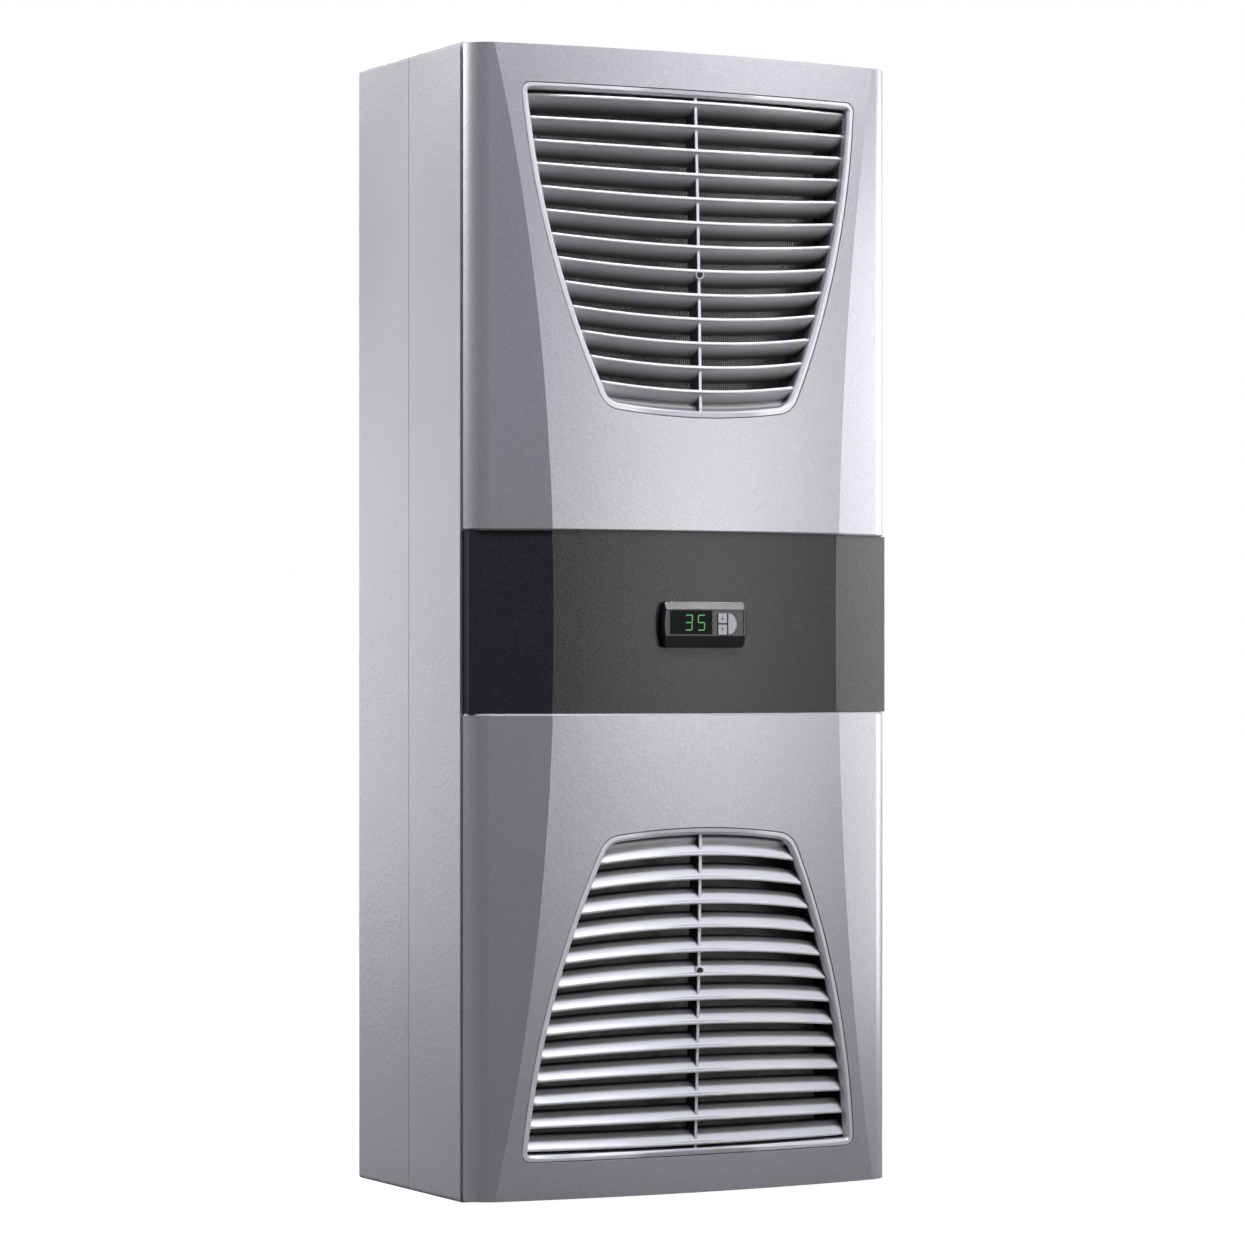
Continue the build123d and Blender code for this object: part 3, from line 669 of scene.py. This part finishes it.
ZINC = Finish(
    "zinc_plating", light=(0.66, 0.65, 0.60), dark=(0.5, 0.49, 0.46), roughness=(0.25, 0.36),
    grain=Effect.MOULDED, grain_scale=1800.0, grain_depth=0.02 * MM, metallic=1.0, drift_scale=80.0,
)
BRIGHT_WIRE = Finish(
    "bright_wire", light=(0.74, 0.74, 0.75), dark=(0.6, 0.6, 0.61), roughness=(0.15, 0.25),
    grain=Effect.ROLLED, grain_scale=700.0, grain_depth=0.01 * MM, metallic=1.0, drift_scale=50.0,
)
MOTOR_CASTING = Finish(
    "motor_casting", light=(0.46, 0.46, 0.47), dark=(0.34, 0.34, 0.35), roughness=(0.45, 0.6),
    grain=Effect.POWDER, grain_scale=900.0, grain_depth=0.2 * MM, metallic=0.9, drift_scale=40.0,
)
FLOOR_PALE = Finish(
    "studio_floor", light=(0.13, 0.13, 0.13), dark=(0.12, 0.12, 0.12), roughness=(0.7, 0.8),
    grain=Effect.MOULDED, grain_scale=80.0, grain_depth=0.01 * MM, specular=0.1, drift_scale=0.5,
)


class Workshop:
    """Makes meshes and hands them to the unit.

    SCREW_RINGS has the radius and height of each ring of a pan head, as shares of the head's own, and
    SCREW_LOBES says how deep the lobes of its recess go in, as a share of the radius, by ring number.
    """

    SCREW_RINGS: tuple[Span, ...] = (
        (1.0, 0.0), (1.0, 0.35), (0.9, 0.75), (0.72, 1.0), (0.5, 1.0), (0.47, 0.4), (0.2, 0.3),
    )
    SCREW_LOBES = {4: 0.14, 5: 0.14}
    LOBE_COUNT = 6

    def __init__(self, effects: SurfaceEffects) -> None:
        """Keep the shared node groups."""
        self.effects = effects
        self._skins: dict[str, BVHTree] = {}

    def dress(self, nodes: Iterable[str], finish: Finish) -> None:
        """Give CAD nodes a finish.

        Args:
            nodes: Names of the nodes.
            finish: The finish for all of them.
        """
        for name in nodes:
            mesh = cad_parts[name].data
            mesh.materials.clear()
            mesh.materials.append(finish.material(self.effects))
            LOG.info("dressed %s in %s", name, finish.name)

    def piece(
        self, name: str, bm: Mesh, finish: Finish, body: str = UNIT, slot: str | None = None,
        stands_for: Sequence[str] = (),
    ) -> bpy.types.Object:
        """Turn a bmesh into a piece that rides on a body.

        Args:
            name: Name of the piece.
            bm: Its mesh, in metres in the unit's frame; it is freed.
            finish: Its finish.
            body: Body that it moves with.
            slot: Material slot of the record, if it takes one; not used.
            stands_for: CAD nodes that it replaces.

        Returns:
            The new object.
        """
        mesh = bpy.data.meshes.new(name)
        bmesh.ops.recalc_face_normals(bm, faces=bm.faces)
        bm.to_mesh(mesh)
        bm.free()
        mesh.materials.append(finish.material(self.effects))
        made = add_object(name, mesh)
        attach(made, body)
        if stands_for:
            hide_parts(*stands_for)
        LOG.info("made %s: %d faces", name, len(mesh.polygons))
        return made

    @staticmethod
    def box(bm: Mesh, low: Vector, high: Vector) -> None:
        """Add a box between two corners.

        Args:
            bm: Mesh to add to.
            low: Corner with the lowest values.
            high: Opposite corner.
        """
        centre, size = (low + high) / 2, high - low
        place = Matrix.Translation(centre) @ Matrix.Diagonal((*size, 1.0))
        bmesh.ops.create_cube(bm, size=1.0, matrix=place)

    @staticmethod
    def rod(bm: Mesh, start: Vector, end: Vector, radius: float, sides: int = 16) -> None:
        """Add a round rod between two points.

        Args:
            bm: Mesh to add to.
            start: Middle of one end.
            end: Middle of the other end.
            radius: Radius of the rod.
            sides: Corners of its section.
        """
        along = end - start
        turn = along.to_track_quat("Z", "Y").to_matrix().to_4x4()
        bmesh.ops.create_cone(
            bm, cap_ends=True, segments=sides, radius1=radius, radius2=radius, depth=along.length,
            matrix=Matrix.Translation((start + end) / 2) @ turn,
        )

    def skin(self, node: str, x: float, z: float, side: Side) -> Vector | None:
        """Find where a CAD node's surface is, seen straight from one side.

        Args:
            node: Name of the node.
            x: Place across the unit.
            z: Height.
            side: Side that it is seen from.

        Returns:
            The nearest point of the surface at that place, if there is one.
        """
        if node not in self._skins:
            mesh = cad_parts[node].data
            corners = [vertex.co for vertex in mesh.vertices]
            self._skins[node] = BVHTree.FromPolygons(corners, [face.vertices for face in mesh.polygons])
        outward = Vector(side.value)
        point, _, _, _ = self._skins[node].ray_cast(Vector((x, 0.0, z)) + outward, -outward)
        return point

    @staticmethod
    def loft(bm: Mesh, rings: Sequence[Sequence[Vector]]) -> None:
        """Join rings of points with faces and close both ends.

        Args:
            bm: Mesh to add to.
            rings: Points of each ring, as many in one as in the next.
        """
        made = [[bm.verts.new(point) for point in ring] for ring in rings]
        for lower, upper in zip(made, made[1:]):
            for step in range(len(lower)):
                after = (step + 1) % len(lower)
                bm.faces.new((lower[step], lower[after], upper[after], upper[step]))
        bm.faces.new(made[-1])
        bm.faces.new(list(reversed(made[0])))

    def turned(
        self, bm: Mesh, place: Vector, side: Side, rings: Sequence[Span], lobes: dict[int, float],
        sides: int = 24,
    ) -> None:
        """Add a turned shape that stands on a surface.

        Args:
            bm: Mesh to add to.
            place: Middle of its foot.
            side: Side that it faces.
            rings: Radius and height of each ring, from the foot up.
            lobes: How deep lobes go in, as a share of the radius, by ring number.
            sides: Corners of each ring.
        """
        turn = Vector(side.value).to_track_quat("Z", "Y").to_matrix()
        circles = []
        for number, (radius, height) in enumerate(rings):
            circle = []
            for step in range(sides):
                angle = math.tau * step / sides
                reach = radius * (1.0 + lobes.get(number, 0.0) * math.cos(self.LOBE_COUNT * angle))
                flat = Vector((reach * math.cos(angle), reach * math.sin(angle), height))
                circle.append(place + turn @ flat)
            circles.append(circle)
        self.loft(bm, circles)

    def screw(self, bm: Mesh, place: Vector, side: Side, radius: float, height: float) -> None:
        """Add a pan-head screw with a six-lobe recess.

        Args:
            bm: Mesh to add to.
            place: Middle of its foot, on the surface that it holds.
            side: Side that it faces.
            radius: Radius of the head.
            height: Height of the head.
        """
        rings = [(radius * wide, height * tall) for wide, tall in self.SCREW_RINGS]
        self.turned(bm, place, side, rings, self.SCREW_LOBES)

    def tube(self, bm: Mesh, path: Sequence[Vector], radius: float, sides: int) -> None:
        """Add a round tube along a path that runs mostly along X.

        Args:
            bm: Mesh to add to.
            path: Points along its middle.
            radius: Radius of the tube.
            sides: Corners of its section.
        """
        angles = [math.tau * step / sides for step in range(sides)]
        circle = [Vector((0.0, math.cos(angle) * radius, math.sin(angle) * radius)) for angle in angles]
        self.loft(bm, [[point + corner for corner in circle] for point in path])

    def plate(self, bm: Mesh, outline: Sequence[Span], front: float, thickness: float) -> None:
        """Add a plate with an outline in X and Z that faces the front.

        Args:
            bm: Mesh to add to.
            outline: Corners as (x, z).
            front: Y of its front face.
            thickness: How far it goes back.
        """
        self.loft(bm, [[Vector((x, y, z)) for x, z in outline] for y in (front, front + thickness)])


@dataclass
class Housing:
    """Sheet-steel chassis, cover hood and back panel."""

    shop: Workshop
    nodes: tuple[str, ...] = ("chassis_shell", "cover_hood", "back_panel")

    def build(self) -> None:
        """Dress the sheet metal."""
        self.shop.dress(self.nodes, HOUSING_PAINT)


@dataclass(frozen=True)
class Grille:
    """A grille: its node, height of its rim's outer end, way along Z to the middle, and painted shade."""

    node: str
    rim_end: float
    inward: float
    shade: Shade

    def level(self, distance: float) -> float:
        """Return the height at a distance from the rim's outer end."""
        return self.rim_end + self.inward * distance


@dataclass
class Fascia:
    """Bowed front mouldings, their grilles and the grille screws."""

    shop: Workshop
    boss_from_rim_end: float = 152.8 * MM
    cup_radius: float = 3.9 * MM
    cup_height: float = 0.9 * MM
    cup_edge: float = 0.3 * MM
    cup_shoulder: float = 0.63 * MM
    cup_mouth: float = 0.2 * MM
    cup_lip: float = 0.72 * MM
    cup_floor: float = 0.045 * MM
    cup_sides: int = 32
    head_radius: float = 2.7 * MM
    head_height: float = 0.6 * MM
    head_gap: float = 0.15 * MM
    blade_count: int = 13
    blade_pitch: float = 20.05 * MM
    first_blade: float = 9.5 * MM
    first_sag: float = 0.1 * MM
    sag_step: float = 1.2 * MM
    sag_reach: float = 140.0 * MM
    bead_radius: float = 1.5 * MM
    bead_proud: float = 0.3 * MM
    bead_step: float = 3.0 * MM
    bead_sides: int = 14
    near_probe: float = 6.0 * MM
    far_probe: float = 48.0 * MM
    bow_radius: float = 9.0
    plan_radius: float = 0.68
    # Painted shade deep in each grille: depth where it starts, depth where it is full, and its lightness
    upper_shade: Shade = Shade(-1.0 * MM, 15.0 * MM, 0.17)
    lower_shade: Shade = Shade(10.0 * MM, 15.0 * MM, 0.025)
    sill_from_nose: float = 12.0 * MM

    def build(self) -> None:
        """Dress the mouldings, screw the grilles down and round the blades' noses."""
        self.shop.dress(("upper_fascia", "lower_fascia"), FASCIA_PAINT)
        self.shop.dress(("centre_band",), BAND_PAINT)
        _, upper_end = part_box("upper_grille")
        lower_end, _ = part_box("lower_grille")
        grilles = (
            Grille("upper_grille", upper_end.z, -1.0, self.upper_shade),
            Grille("lower_grille", lower_end.z, 1.0, self.lower_shade),
        )
        for work in (self._fix, self._dress_grille, self._round_noses):
            for grille in grilles:
                work(grille)

    def _nose(self, grille: Grille, blade: int) -> float:
        """Return the height of a blade's nose at the middle of the unit."""
        return grille.level(self.first_blade + blade * self.blade_pitch)

    def _lift(self, grille: Grille, blade: int) -> float:
        """Return how much a nose line rises for the square of the distance from the middle."""
        return -grille.inward * (self.first_sag + blade * self.sag_step) / self.sag_reach**2

    def _dress_grille(self, grille: Grille) -> None:
        """Dress a grille, with painted shade deep between its blades, on its inner walls and towards its
        sill.

        Args:
            grille: The grille.
        """
        low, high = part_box("centre_band")
        middle = (low.z + high.z) / 2
        bow, sweep = 1.0 / (2.0 * self.bow_radius), 1.0 / (2.0 * self.plan_radius)
        nose, last = self._nose(grille, 0), self.blade_count - 1
        at_nose = self.shop.skin(grille.node, self.near_probe, nose, Side.FRONT).y
        front = at_nose - bow * (nose - middle) ** 2
        sill = abs(self._nose(grille, last) - middle) - self.sill_from_nose
        recess = PaintedRecessShade(front, middle, bow, sweep, sill, self._lift(grille, last), grille.shade)
        self.shop.dress((grille.node,), replace(GRILLE_PAINT, name=f"{grille.node}_satin", recess=recess))

    def _round_noses(self, grille: Grille) -> None:
        """Lay a round bead along the nose of each blade of a grille, in a lighter copy of the grille
        paint as painted highlight.

        Args:
            grille: The grille.
        """
        bm = bmesh.new()
        for blade in range(self.blade_count):
            line = self._nose_line(grille.node, self._nose(grille, blade), self._lift(grille, blade))
            self.shop.tube(bm, line, self.bead_radius, self.bead_sides)
        # The beads carry a painted highlight: a whiter copy of the grille paint
        made = self.shop.piece(f"{grille.node}_blade_noses", bm, NOSE_PAINTED_HIGHLIGHT, slot="grille_plastic")
        made.data.shade_smooth()

    def _nose_line(self, node: str, nose: float, lift: float) -> list[Vector]:
        """Follow a blade's nose from rim to rim.

        Args:
            node: Name of the grille's node.
            nose: Height of the nose at the middle of the unit.
            lift: Rise of the nose line for the square of the distance from the middle.

        Returns:
            Points along the middle of the bead.
        """
        front = self.shop.skin(node, self.near_probe, nose, Side.FRONT).y
        further = self.shop.skin(node, self.far_probe, nose + lift * self.far_probe**2, Side.FRONT).y
        sweep = (further - front) / self.far_probe**2
        half = []
        x = 0.0
        while True:
            level, depth = nose + lift * x**2, front + sweep * x**2
            half.append(Vector((x, depth + self.bead_radius - self.bead_proud, level)))
            x += self.bead_step
            met = self.shop.skin(node, x, level, Side.FRONT)
            if met is None or met.y < depth - self.bead_proud:
                break
        return [Vector((-p.x, p.y, p.z)) for p in reversed(half[1:])] + half

    def _fix(self, grille: Grille) -> None:
        """Screw a grille down at its boss.

        Args:
            grille: The grille.
        """
        seat = self.shop.skin(grille.node, 0.0, grille.level(self.boss_from_rim_end), Side.FRONT)
        cup = bmesh.new()
        inner = self.head_radius + self.head_gap
        rings = [
            (self.cup_radius, 0.0), (self.cup_radius, self.cup_shoulder),
            (self.cup_radius - self.cup_edge, self.cup_height), (inner + self.cup_mouth, self.cup_height),
            (inner, self.cup_lip), (inner, self.cup_floor),
        ]
        self.shop.turned(cup, seat, Side.FRONT, rings, {}, sides=self.cup_sides)
        self.shop.piece(f"{grille.node}_screw_cup", cup, GRILLE_PAINT, slot="grille_plastic")
        head = bmesh.new()
        foot = seat + Vector(Side.FRONT.value) * self.cup_floor
        self.shop.screw(head, foot, Side.FRONT, self.head_radius, self.head_height)
        self.shop.piece(f"{grille.node}_screw", head, SCREW_BLACK)


@dataclass
class Controller:
    """Small controller on the band, with its window, read-out and keys."""

    shop: Workshop
    digit_height: float = 12.4 * MM
    digit_width: float = 6.1 * MM
    stroke: float = 0.8 * MM
    segment_gap: float = 0.096 * MM
    lean: float = 0.05
    film: float = 0.05 * MM
    digits: tuple[tuple[int, float], ...] = ((3, 17.8 * MM), (5, 29.6 * MM))
    digit_rise: float = 9.6 * MM
    mark_half_width: float = 1.7 * MM
    mark_rise: float = 2.8 * MM

    SEGMENTS = {3: "abgcd", 5: "afgcd"}

    def build(self) -> None:
        """Dress the controller and light its read-out."""
        mouldings = ("controller_housing", "terminal_socket", "inlet_ring", "fan_impeller")
        self.shop.dress(mouldings, CONTROLLER_BLACK)
        self.shop.dress(("display_window",), DISPLAY_SMOKE)
        self.shop.dress(("key_set",), KEY_RUBBER)
        self._print_key("key_up", self.mark_rise)
        self._print_key("key_down", -self.mark_rise)
        self._read_out()

    def _print_key(self, node: str, rise: float) -> None:
        """Dress a key and print a triangle on it.

        Args:
            node: Name of the key's node.
            rise: Height of the triangle, negative to point it down.
        """
        low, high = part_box(node)
        middle = (low + high) / 2
        mark = PrintedMark(middle.x, middle.z - rise / 2, self.mark_half_width, rise)
        self.shop.dress((node,), replace(KEY_RUBBER, name=f"{node}_rubber", mark=mark))

    def _read_out(self) -> None:
        """Make the lit segments, a film on the face of the window."""
        low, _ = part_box("display_window")
        bm = bmesh.new()
        for value, offset in self.digits:
            centre = Vector((low.x + offset, low.y, low.z + self.digit_rise))
            for segment in self.SEGMENTS[value]:
                self._segment(bm, segment, centre)
        self.shop.piece("readout_segments", bm, SEGMENT_GREEN, slot="display_plastic")

    def _segment(self, bm: Mesh, letter: str, centre: Vector) -> None:
        """Add one segment of a digit.

        Args:
            bm: Mesh to add to.
            letter: Usual letter of the segment, a to g.
            centre: Middle of the digit, on the window's face.
        """
        half_w, half_h = self.digit_width / 2, self.digit_height / 2
        ends = {
            "a": ((-half_w, half_h), (half_w, half_h)),
            "b": ((half_w, 0), (half_w, half_h)),
            "c": ((half_w, -half_h), (half_w, 0)),
            "d": ((-half_w, -half_h), (half_w, -half_h)),
            "f": ((-half_w, 0), (-half_w, half_h)),
            "g": ((-half_w, 0), (half_w, 0)),
        }[letter]
        start, end = Vector(ends[0]), Vector(ends[1])
        along = (end - start).normalized()
        across = Vector((-along.y, along.x)) * self.stroke / 2
        tip = along * self.stroke / 2
        start, end = start + along * self.segment_gap, end - along * self.segment_gap
        outline = [
            start, start + tip + across, end - tip + across,
            end, end - tip - across, start + tip - across,
        ]
        points = [(centre.x + p.x + self.lean * p.y, centre.z + p.y) for p in outline]
        self.shop.plate(bm, points, centre.y - self.film, self.film)


@dataclass
class FinPack:
    """Finned coil: thin upright fins on rows of copper tube."""

    shop: Workshop
    node: str
    pitch: float = 2.0 * MM
    thickness: float = 0.3 * MM
    tube_radius: float = 4.8 * MM
    tube_pitch: float = 25.0 * MM
    tube_sides: int = 12
    rows: int = 2
    row_stagger: float = 0.25

    def build(self) -> None:
        """Make the fins and the tubes in place of the coil's block."""
        low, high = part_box(self.node)
        bm = bmesh.new()
        count = int((high.x - low.x - self.thickness) / self.pitch)
        first = (low.x + high.x - count * self.pitch) / 2
        for index in range(count + 1):
            left = first + index * self.pitch - self.thickness / 2
            right = left + self.thickness
            self.shop.box(bm, Vector((left, low.y, low.z)), Vector((right, high.y, high.z)))
        self.shop.piece(f"{self.node}_pack", bm, FIN_ALUMINIUM, slot="coil_fins", stands_for=(self.node,))
        bm = bmesh.new()
        row_pitch = (high.y - low.y) / self.rows
        levels = int((high.z - low.z) / self.tube_pitch)
        for row in range(self.rows):
            y = low.y + row_pitch * (row + 0.5)
            for level in range(levels):
                z = low.z + self.tube_pitch * (level + 0.5 + self.row_stagger * (row % 2))
                start, end = Vector((low.x, y, z)), Vector((high.x, y, z))
                self.shop.rod(bm, start, end, self.tube_radius, self.tube_sides)
        self.shop.piece(f"{self.node}_tubes", bm, TUBE_COPPER)


@dataclass
class AirSide:
    """Baffle and coils that show through the grilles and the wall side's outlet."""

    shop: Workshop
    coils: tuple[str, ...] = ("upper_coil", "lower_coil", "evaporator")
    front_fin: float = 0.6 * MM

    def build(self) -> None:
        """Dress the baffle and build the coils."""
        self.shop.dress(("air_baffle",), BAFFLE_BLACK)
        plates = [f"{coil}_{side}_plate" for coil in self.coils for side in ("left", "right")]
        self.shop.dress(plates, GALVANISED)
        for node in ("upper_coil_fins", "lower_coil_fins"):
            FinPack(self.shop, node, thickness=self.front_fin).build()
        FinPack(self.shop, "evaporator_fins").build()


@dataclass
class RearSide:
    """Gasket, nuts, fan and guard on the wall side, with the screws and the socket's pins."""

    shop: Workshop
    screw_radius: float = 3.6 * MM
    screw_height: float = 2.4 * MM
    screw_column: float = 170.0 * MM
    screw_levels: tuple[float, ...] = (150.0 * MM, 312.0 * MM, 475.0 * MM, 638.0 * MM, 800.0 * MM)
    screw_row: float = 32.0 * MM
    flange_reach: float = 91.0 * MM
    flange_screws: int = 4
    small_radius: float = 2.4 * MM
    small_height: float = 1.4 * MM
    ear_inset: float = 2.7 * MM
    ear_radius: float = 1.6 * MM
    ear_height: float = 0.9 * MM
    frame_inset: float = 8.0 * MM
    frame_wall: float = 1.4 * MM
    frame_height: float = 1.3 * MM
    pins: int = 7
    pin_pitch: float = 5.6 * MM
    pin_radius: float = 1.1 * MM
    pin_height: float = 1.0 * MM
    pin_shoulder: float = 0.75 * MM
    pin_tip: float = 0.66 * MM

    def build(self) -> None:
        """Dress the wall side and add its small fittings."""
        finishes = {
            "rear_gasket": GASKET_FOAM, "blind_nuts": ZINC, "inlet_guard": BRIGHT_WIRE,
            "fan_motor": MOTOR_CASTING, "fan_bracket": GALVANISED,
        }
        for node, finish in finishes.items():
            self.shop.dress((node,), finish)
        self._fix_panel()
        self._fix_ring()
        self._fit_socket()

    def _fix_panel(self) -> None:
        """Screw the back panel down inside the gasket."""
        low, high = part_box("back_panel")
        places = [(side * self.screw_column, level) for side in (-1, 1) for level in self.screw_levels]
        places += [(0.0, low.z + self.screw_row), (0.0, high.z - self.screw_row)]
        bm = bmesh.new()
        for x, z in places:
            seat = self.shop.skin("back_panel", x, z, Side.REAR)
            self.shop.screw(bm, seat, Side.REAR, self.screw_radius, self.screw_height)
        self.shop.piece("back_panel_screws", bm, ZINC)

    def _fix_ring(self) -> None:
        """Screw the inlet ring's flange to the back panel."""
        low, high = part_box("inlet_ring")
        middle = (low + high) / 2
        bm = bmesh.new()
        for step in range(self.flange_screws):
            angle = math.tau * (step + 0.5) / self.flange_screws
            x = middle.x + self.flange_reach * math.cos(angle)
            z = middle.z + self.flange_reach * math.sin(angle)
            seat = self.shop.skin("inlet_ring", x, z, Side.REAR)
            self.shop.screw(bm, seat, Side.REAR, self.small_radius, self.small_height)
        self.shop.piece("inlet_ring_screws", bm, ZINC)

    def _fit_socket(self) -> None:
        """Give the terminal socket its collar, pins and screws."""
        low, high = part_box("terminal_socket")
        middle = (low.z + high.z) / 2
        left, right = low.x + self.frame_inset, high.x - self.frame_inset
        bottom, top = low.z + self.frame_inset, high.z - self.frame_inset
        face, crest, wall = high.y, high.y + self.frame_height, self.frame_wall
        collar = bmesh.new()
        walls = (
            ((left, bottom), (right, bottom + wall)),
            ((left, top - wall), (right, top)),
            ((left, bottom + wall), (left + wall, top - wall)),
            ((right - wall, bottom + wall), (right, top - wall)),
        )
        for (x, z), (x_end, z_end) in walls:
            self.shop.box(collar, Vector((x, face, z)), Vector((x_end, crest, z_end)))
        self.shop.piece("socket_collar", collar, CONTROLLER_BLACK, slot="controller_plastic")
        pins = bmesh.new()
        for index in range(self.pins):
            x = (left + right) / 2 + (index - (self.pins - 1) / 2) * self.pin_pitch
            rings = [
                (self.pin_radius, 0.0), (self.pin_radius, self.pin_shoulder),
                (self.pin_tip, self.pin_height),
            ]
            self.shop.turned(pins, Vector((x, face, middle)), Side.REAR, rings, {})
        self.shop.piece("socket_pins", pins, PIN_BRASS)
        ears = bmesh.new()
        for x in (low.x + self.ear_inset, high.x - self.ear_inset):
            self.shop.screw(ears, Vector((x, face, middle)), Side.REAR, self.ear_radius, self.ear_height)
        self.shop.piece("socket_screws", ears, ZINC)


@dataclass(frozen=True)
class SoftBox:
    """A rectangular studio light."""

    name: str
    place: Place
    aim: Place
    size: Span
    power: float
    spread_deg: float = 180.0
    tint: Colour = WHITE

    def build(self) -> None:
        """Hang the light and point it."""
        light = bpy.data.lights.new(self.name, "AREA")
        light.shape = "RECTANGLE"
        light.size, light.size_y = self.size
        light.energy = self.power
        light.spread = math.radians(self.spread_deg)
        light.color = self.tint
        made = add_object(self.name, light)
        made.location = self.place
        made.visible_camera = False
        direction = Vector(self.aim) - Vector(self.place)
        made.rotation_euler = direction.to_track_quat("-Z", "Y").to_euler()


@dataclass
class Studio:
    """Pale floor, soft light and the camera at the photograph's place."""

    shop: Workshop
    photo_pixels: float = 1245.0
    focal_pixels: float = 4457.2
    horizon_below_middle: float = 46.74
    camera_place: Place = (-1.7523, -3.3786, 0.4365)
    camera_yaw_deg: float = 27.271
    sensor: float = 36.0
    floor_half: float = 20.0
    ambient: float = 0.03
    backdrop: float = 1.0
    floor_glow: float = 1.0
    room_tint: Colour = (0.93, 0.95, 1.0)
    lights: tuple[SoftBox, ...] = (
        SoftBox("key_low", (0.96, -1.95, 0.58), (-0.03, -0.1, 0.45), (1.2, 0.8), 0.72, 35.0, WARM),
        SoftBox("key_high", (1.2, -1.35, 1.9), (0.16, -0.1, 0.94), (0.8, 0.6), 1.15, 40.0, WARM),
        SoftBox("top_front", (0.25, -1.5, 2.8), (0.0, -0.15, 0.65), (0.9, 0.6), 12.0, 80.0, COOL),
        SoftBox("brow", (0.83, -1.3, 1.62), (-0.014, -0.13, 0.489), (0.14, 0.14), 0.005, 2.8),
        SoftBox("edge_near", (0.70, -0.10, 0.5), (0.17, -0.08, 0.5), (0.12, 0.8), 2.0),
        SoftBox("edge_far", (1.6, 0.1, 0.8), (0.17, -0.08, 0.5), (0.15, 0.7), 7.0),
        SoftBox("side_high", (-1.65, 0.75, 1.6), (-0.2, 0.0, 0.6), (0.7, 0.7), 40.0),
        SoftBox("side_low", (-0.5, 1.6, 0.45), (-0.2, 0.0, 0.55), (0.7, 0.7), 5.0),
        SoftBox("rear_fill", (0.9, 2.4, 1.5), (0.0, 0.12, 0.5), (1.2, 1.2), 46.0),
    )

    def build(self) -> None:
        """Set the stage."""
        bpy.context.scene.view_settings.view_transform = "Standard"
        self._camera()
        self._floor()
        self._world()
        for light in self.lights:
            light.build()

    def _camera(self) -> None:
        """Place the level camera of the photograph, with the view raised by its shift."""
        data = bpy.data.cameras.new("photo_camera")
        data.sensor_width = self.sensor
        data.lens = self.sensor * self.focal_pixels / self.photo_pixels
        data.shift_y = self.horizon_below_middle / self.photo_pixels
        made = add_object("photo_camera", data)
        made.location = self.camera_place
        made.rotation_euler = (math.pi / 2, 0.0, -math.radians(self.camera_yaw_deg))
        bpy.context.scene.camera = made

    def _floor(self) -> None:
        """Lay the pale floor just under the unit."""
        bm = bmesh.new()
        bmesh.ops.create_grid(bm, x_segments=1, y_segments=1, size=self.floor_half)
        mesh = bpy.data.meshes.new("studio_floor")
        bm.to_mesh(mesh)
        bm.free()
        material = FLOOR_PALE.material(self.shop.effects)
        mesh.materials.append(material)
        made = add_object("studio_floor", mesh)
        tree = material.node_tree
        path = tree.nodes.new("ShaderNodeLightPath")
        glow = tree.nodes.new("ShaderNodeMath")
        glow.operation = "MULTIPLY"
        glow.inputs[1].default_value = self.floor_glow
        tree.links.new(path.outputs["Is Camera Ray"], glow.inputs[0])
        shader = tree.nodes["Principled BSDF"]
        shader.inputs["Emission Color"].default_value = opaque(WHITE)
        tree.links.new(glow.outputs[0], shader.inputs["Emission Strength"])

    def _world(self) -> None:
        """Give the room an even light, and show it white behind the unit."""
        world = bpy.data.worlds.new("studio_room")
        bpy.context.scene.world = world
        world.use_nodes = True
        tree = world.node_tree
        room = tree.nodes["Background"]
        room.inputs["Color"].default_value = opaque(self.room_tint)
        room.inputs["Strength"].default_value = self.ambient
        white = tree.nodes.new("ShaderNodeBackground")
        white.inputs["Color"].default_value = opaque(WHITE)
        white.inputs["Strength"].default_value = self.backdrop
        mix = tree.nodes.new("ShaderNodeMixShader")
        path = tree.nodes.new("ShaderNodeLightPath")
        tree.links.new(path.outputs["Is Camera Ray"], mix.inputs[0])
        tree.links.new(room.outputs[0], mix.inputs[1])
        tree.links.new(white.outputs[0], mix.inputs[2])
        tree.links.new(mix.outputs[0], tree.nodes["World Output"].inputs["Surface"])


def main() -> None:
    """Build every sub-assembly, then the studio."""
    logging.basicConfig(level=logging.INFO, format="%(message)s")
    shop = Workshop(SurfaceEffects())
    for assembly in (Housing, Fascia, Controller, AirSide, RearSide, Studio):
        assembly(shop).build()
        LOG.info("finished %s", assembly.__name__)


if __name__ == "__main__":
    main()
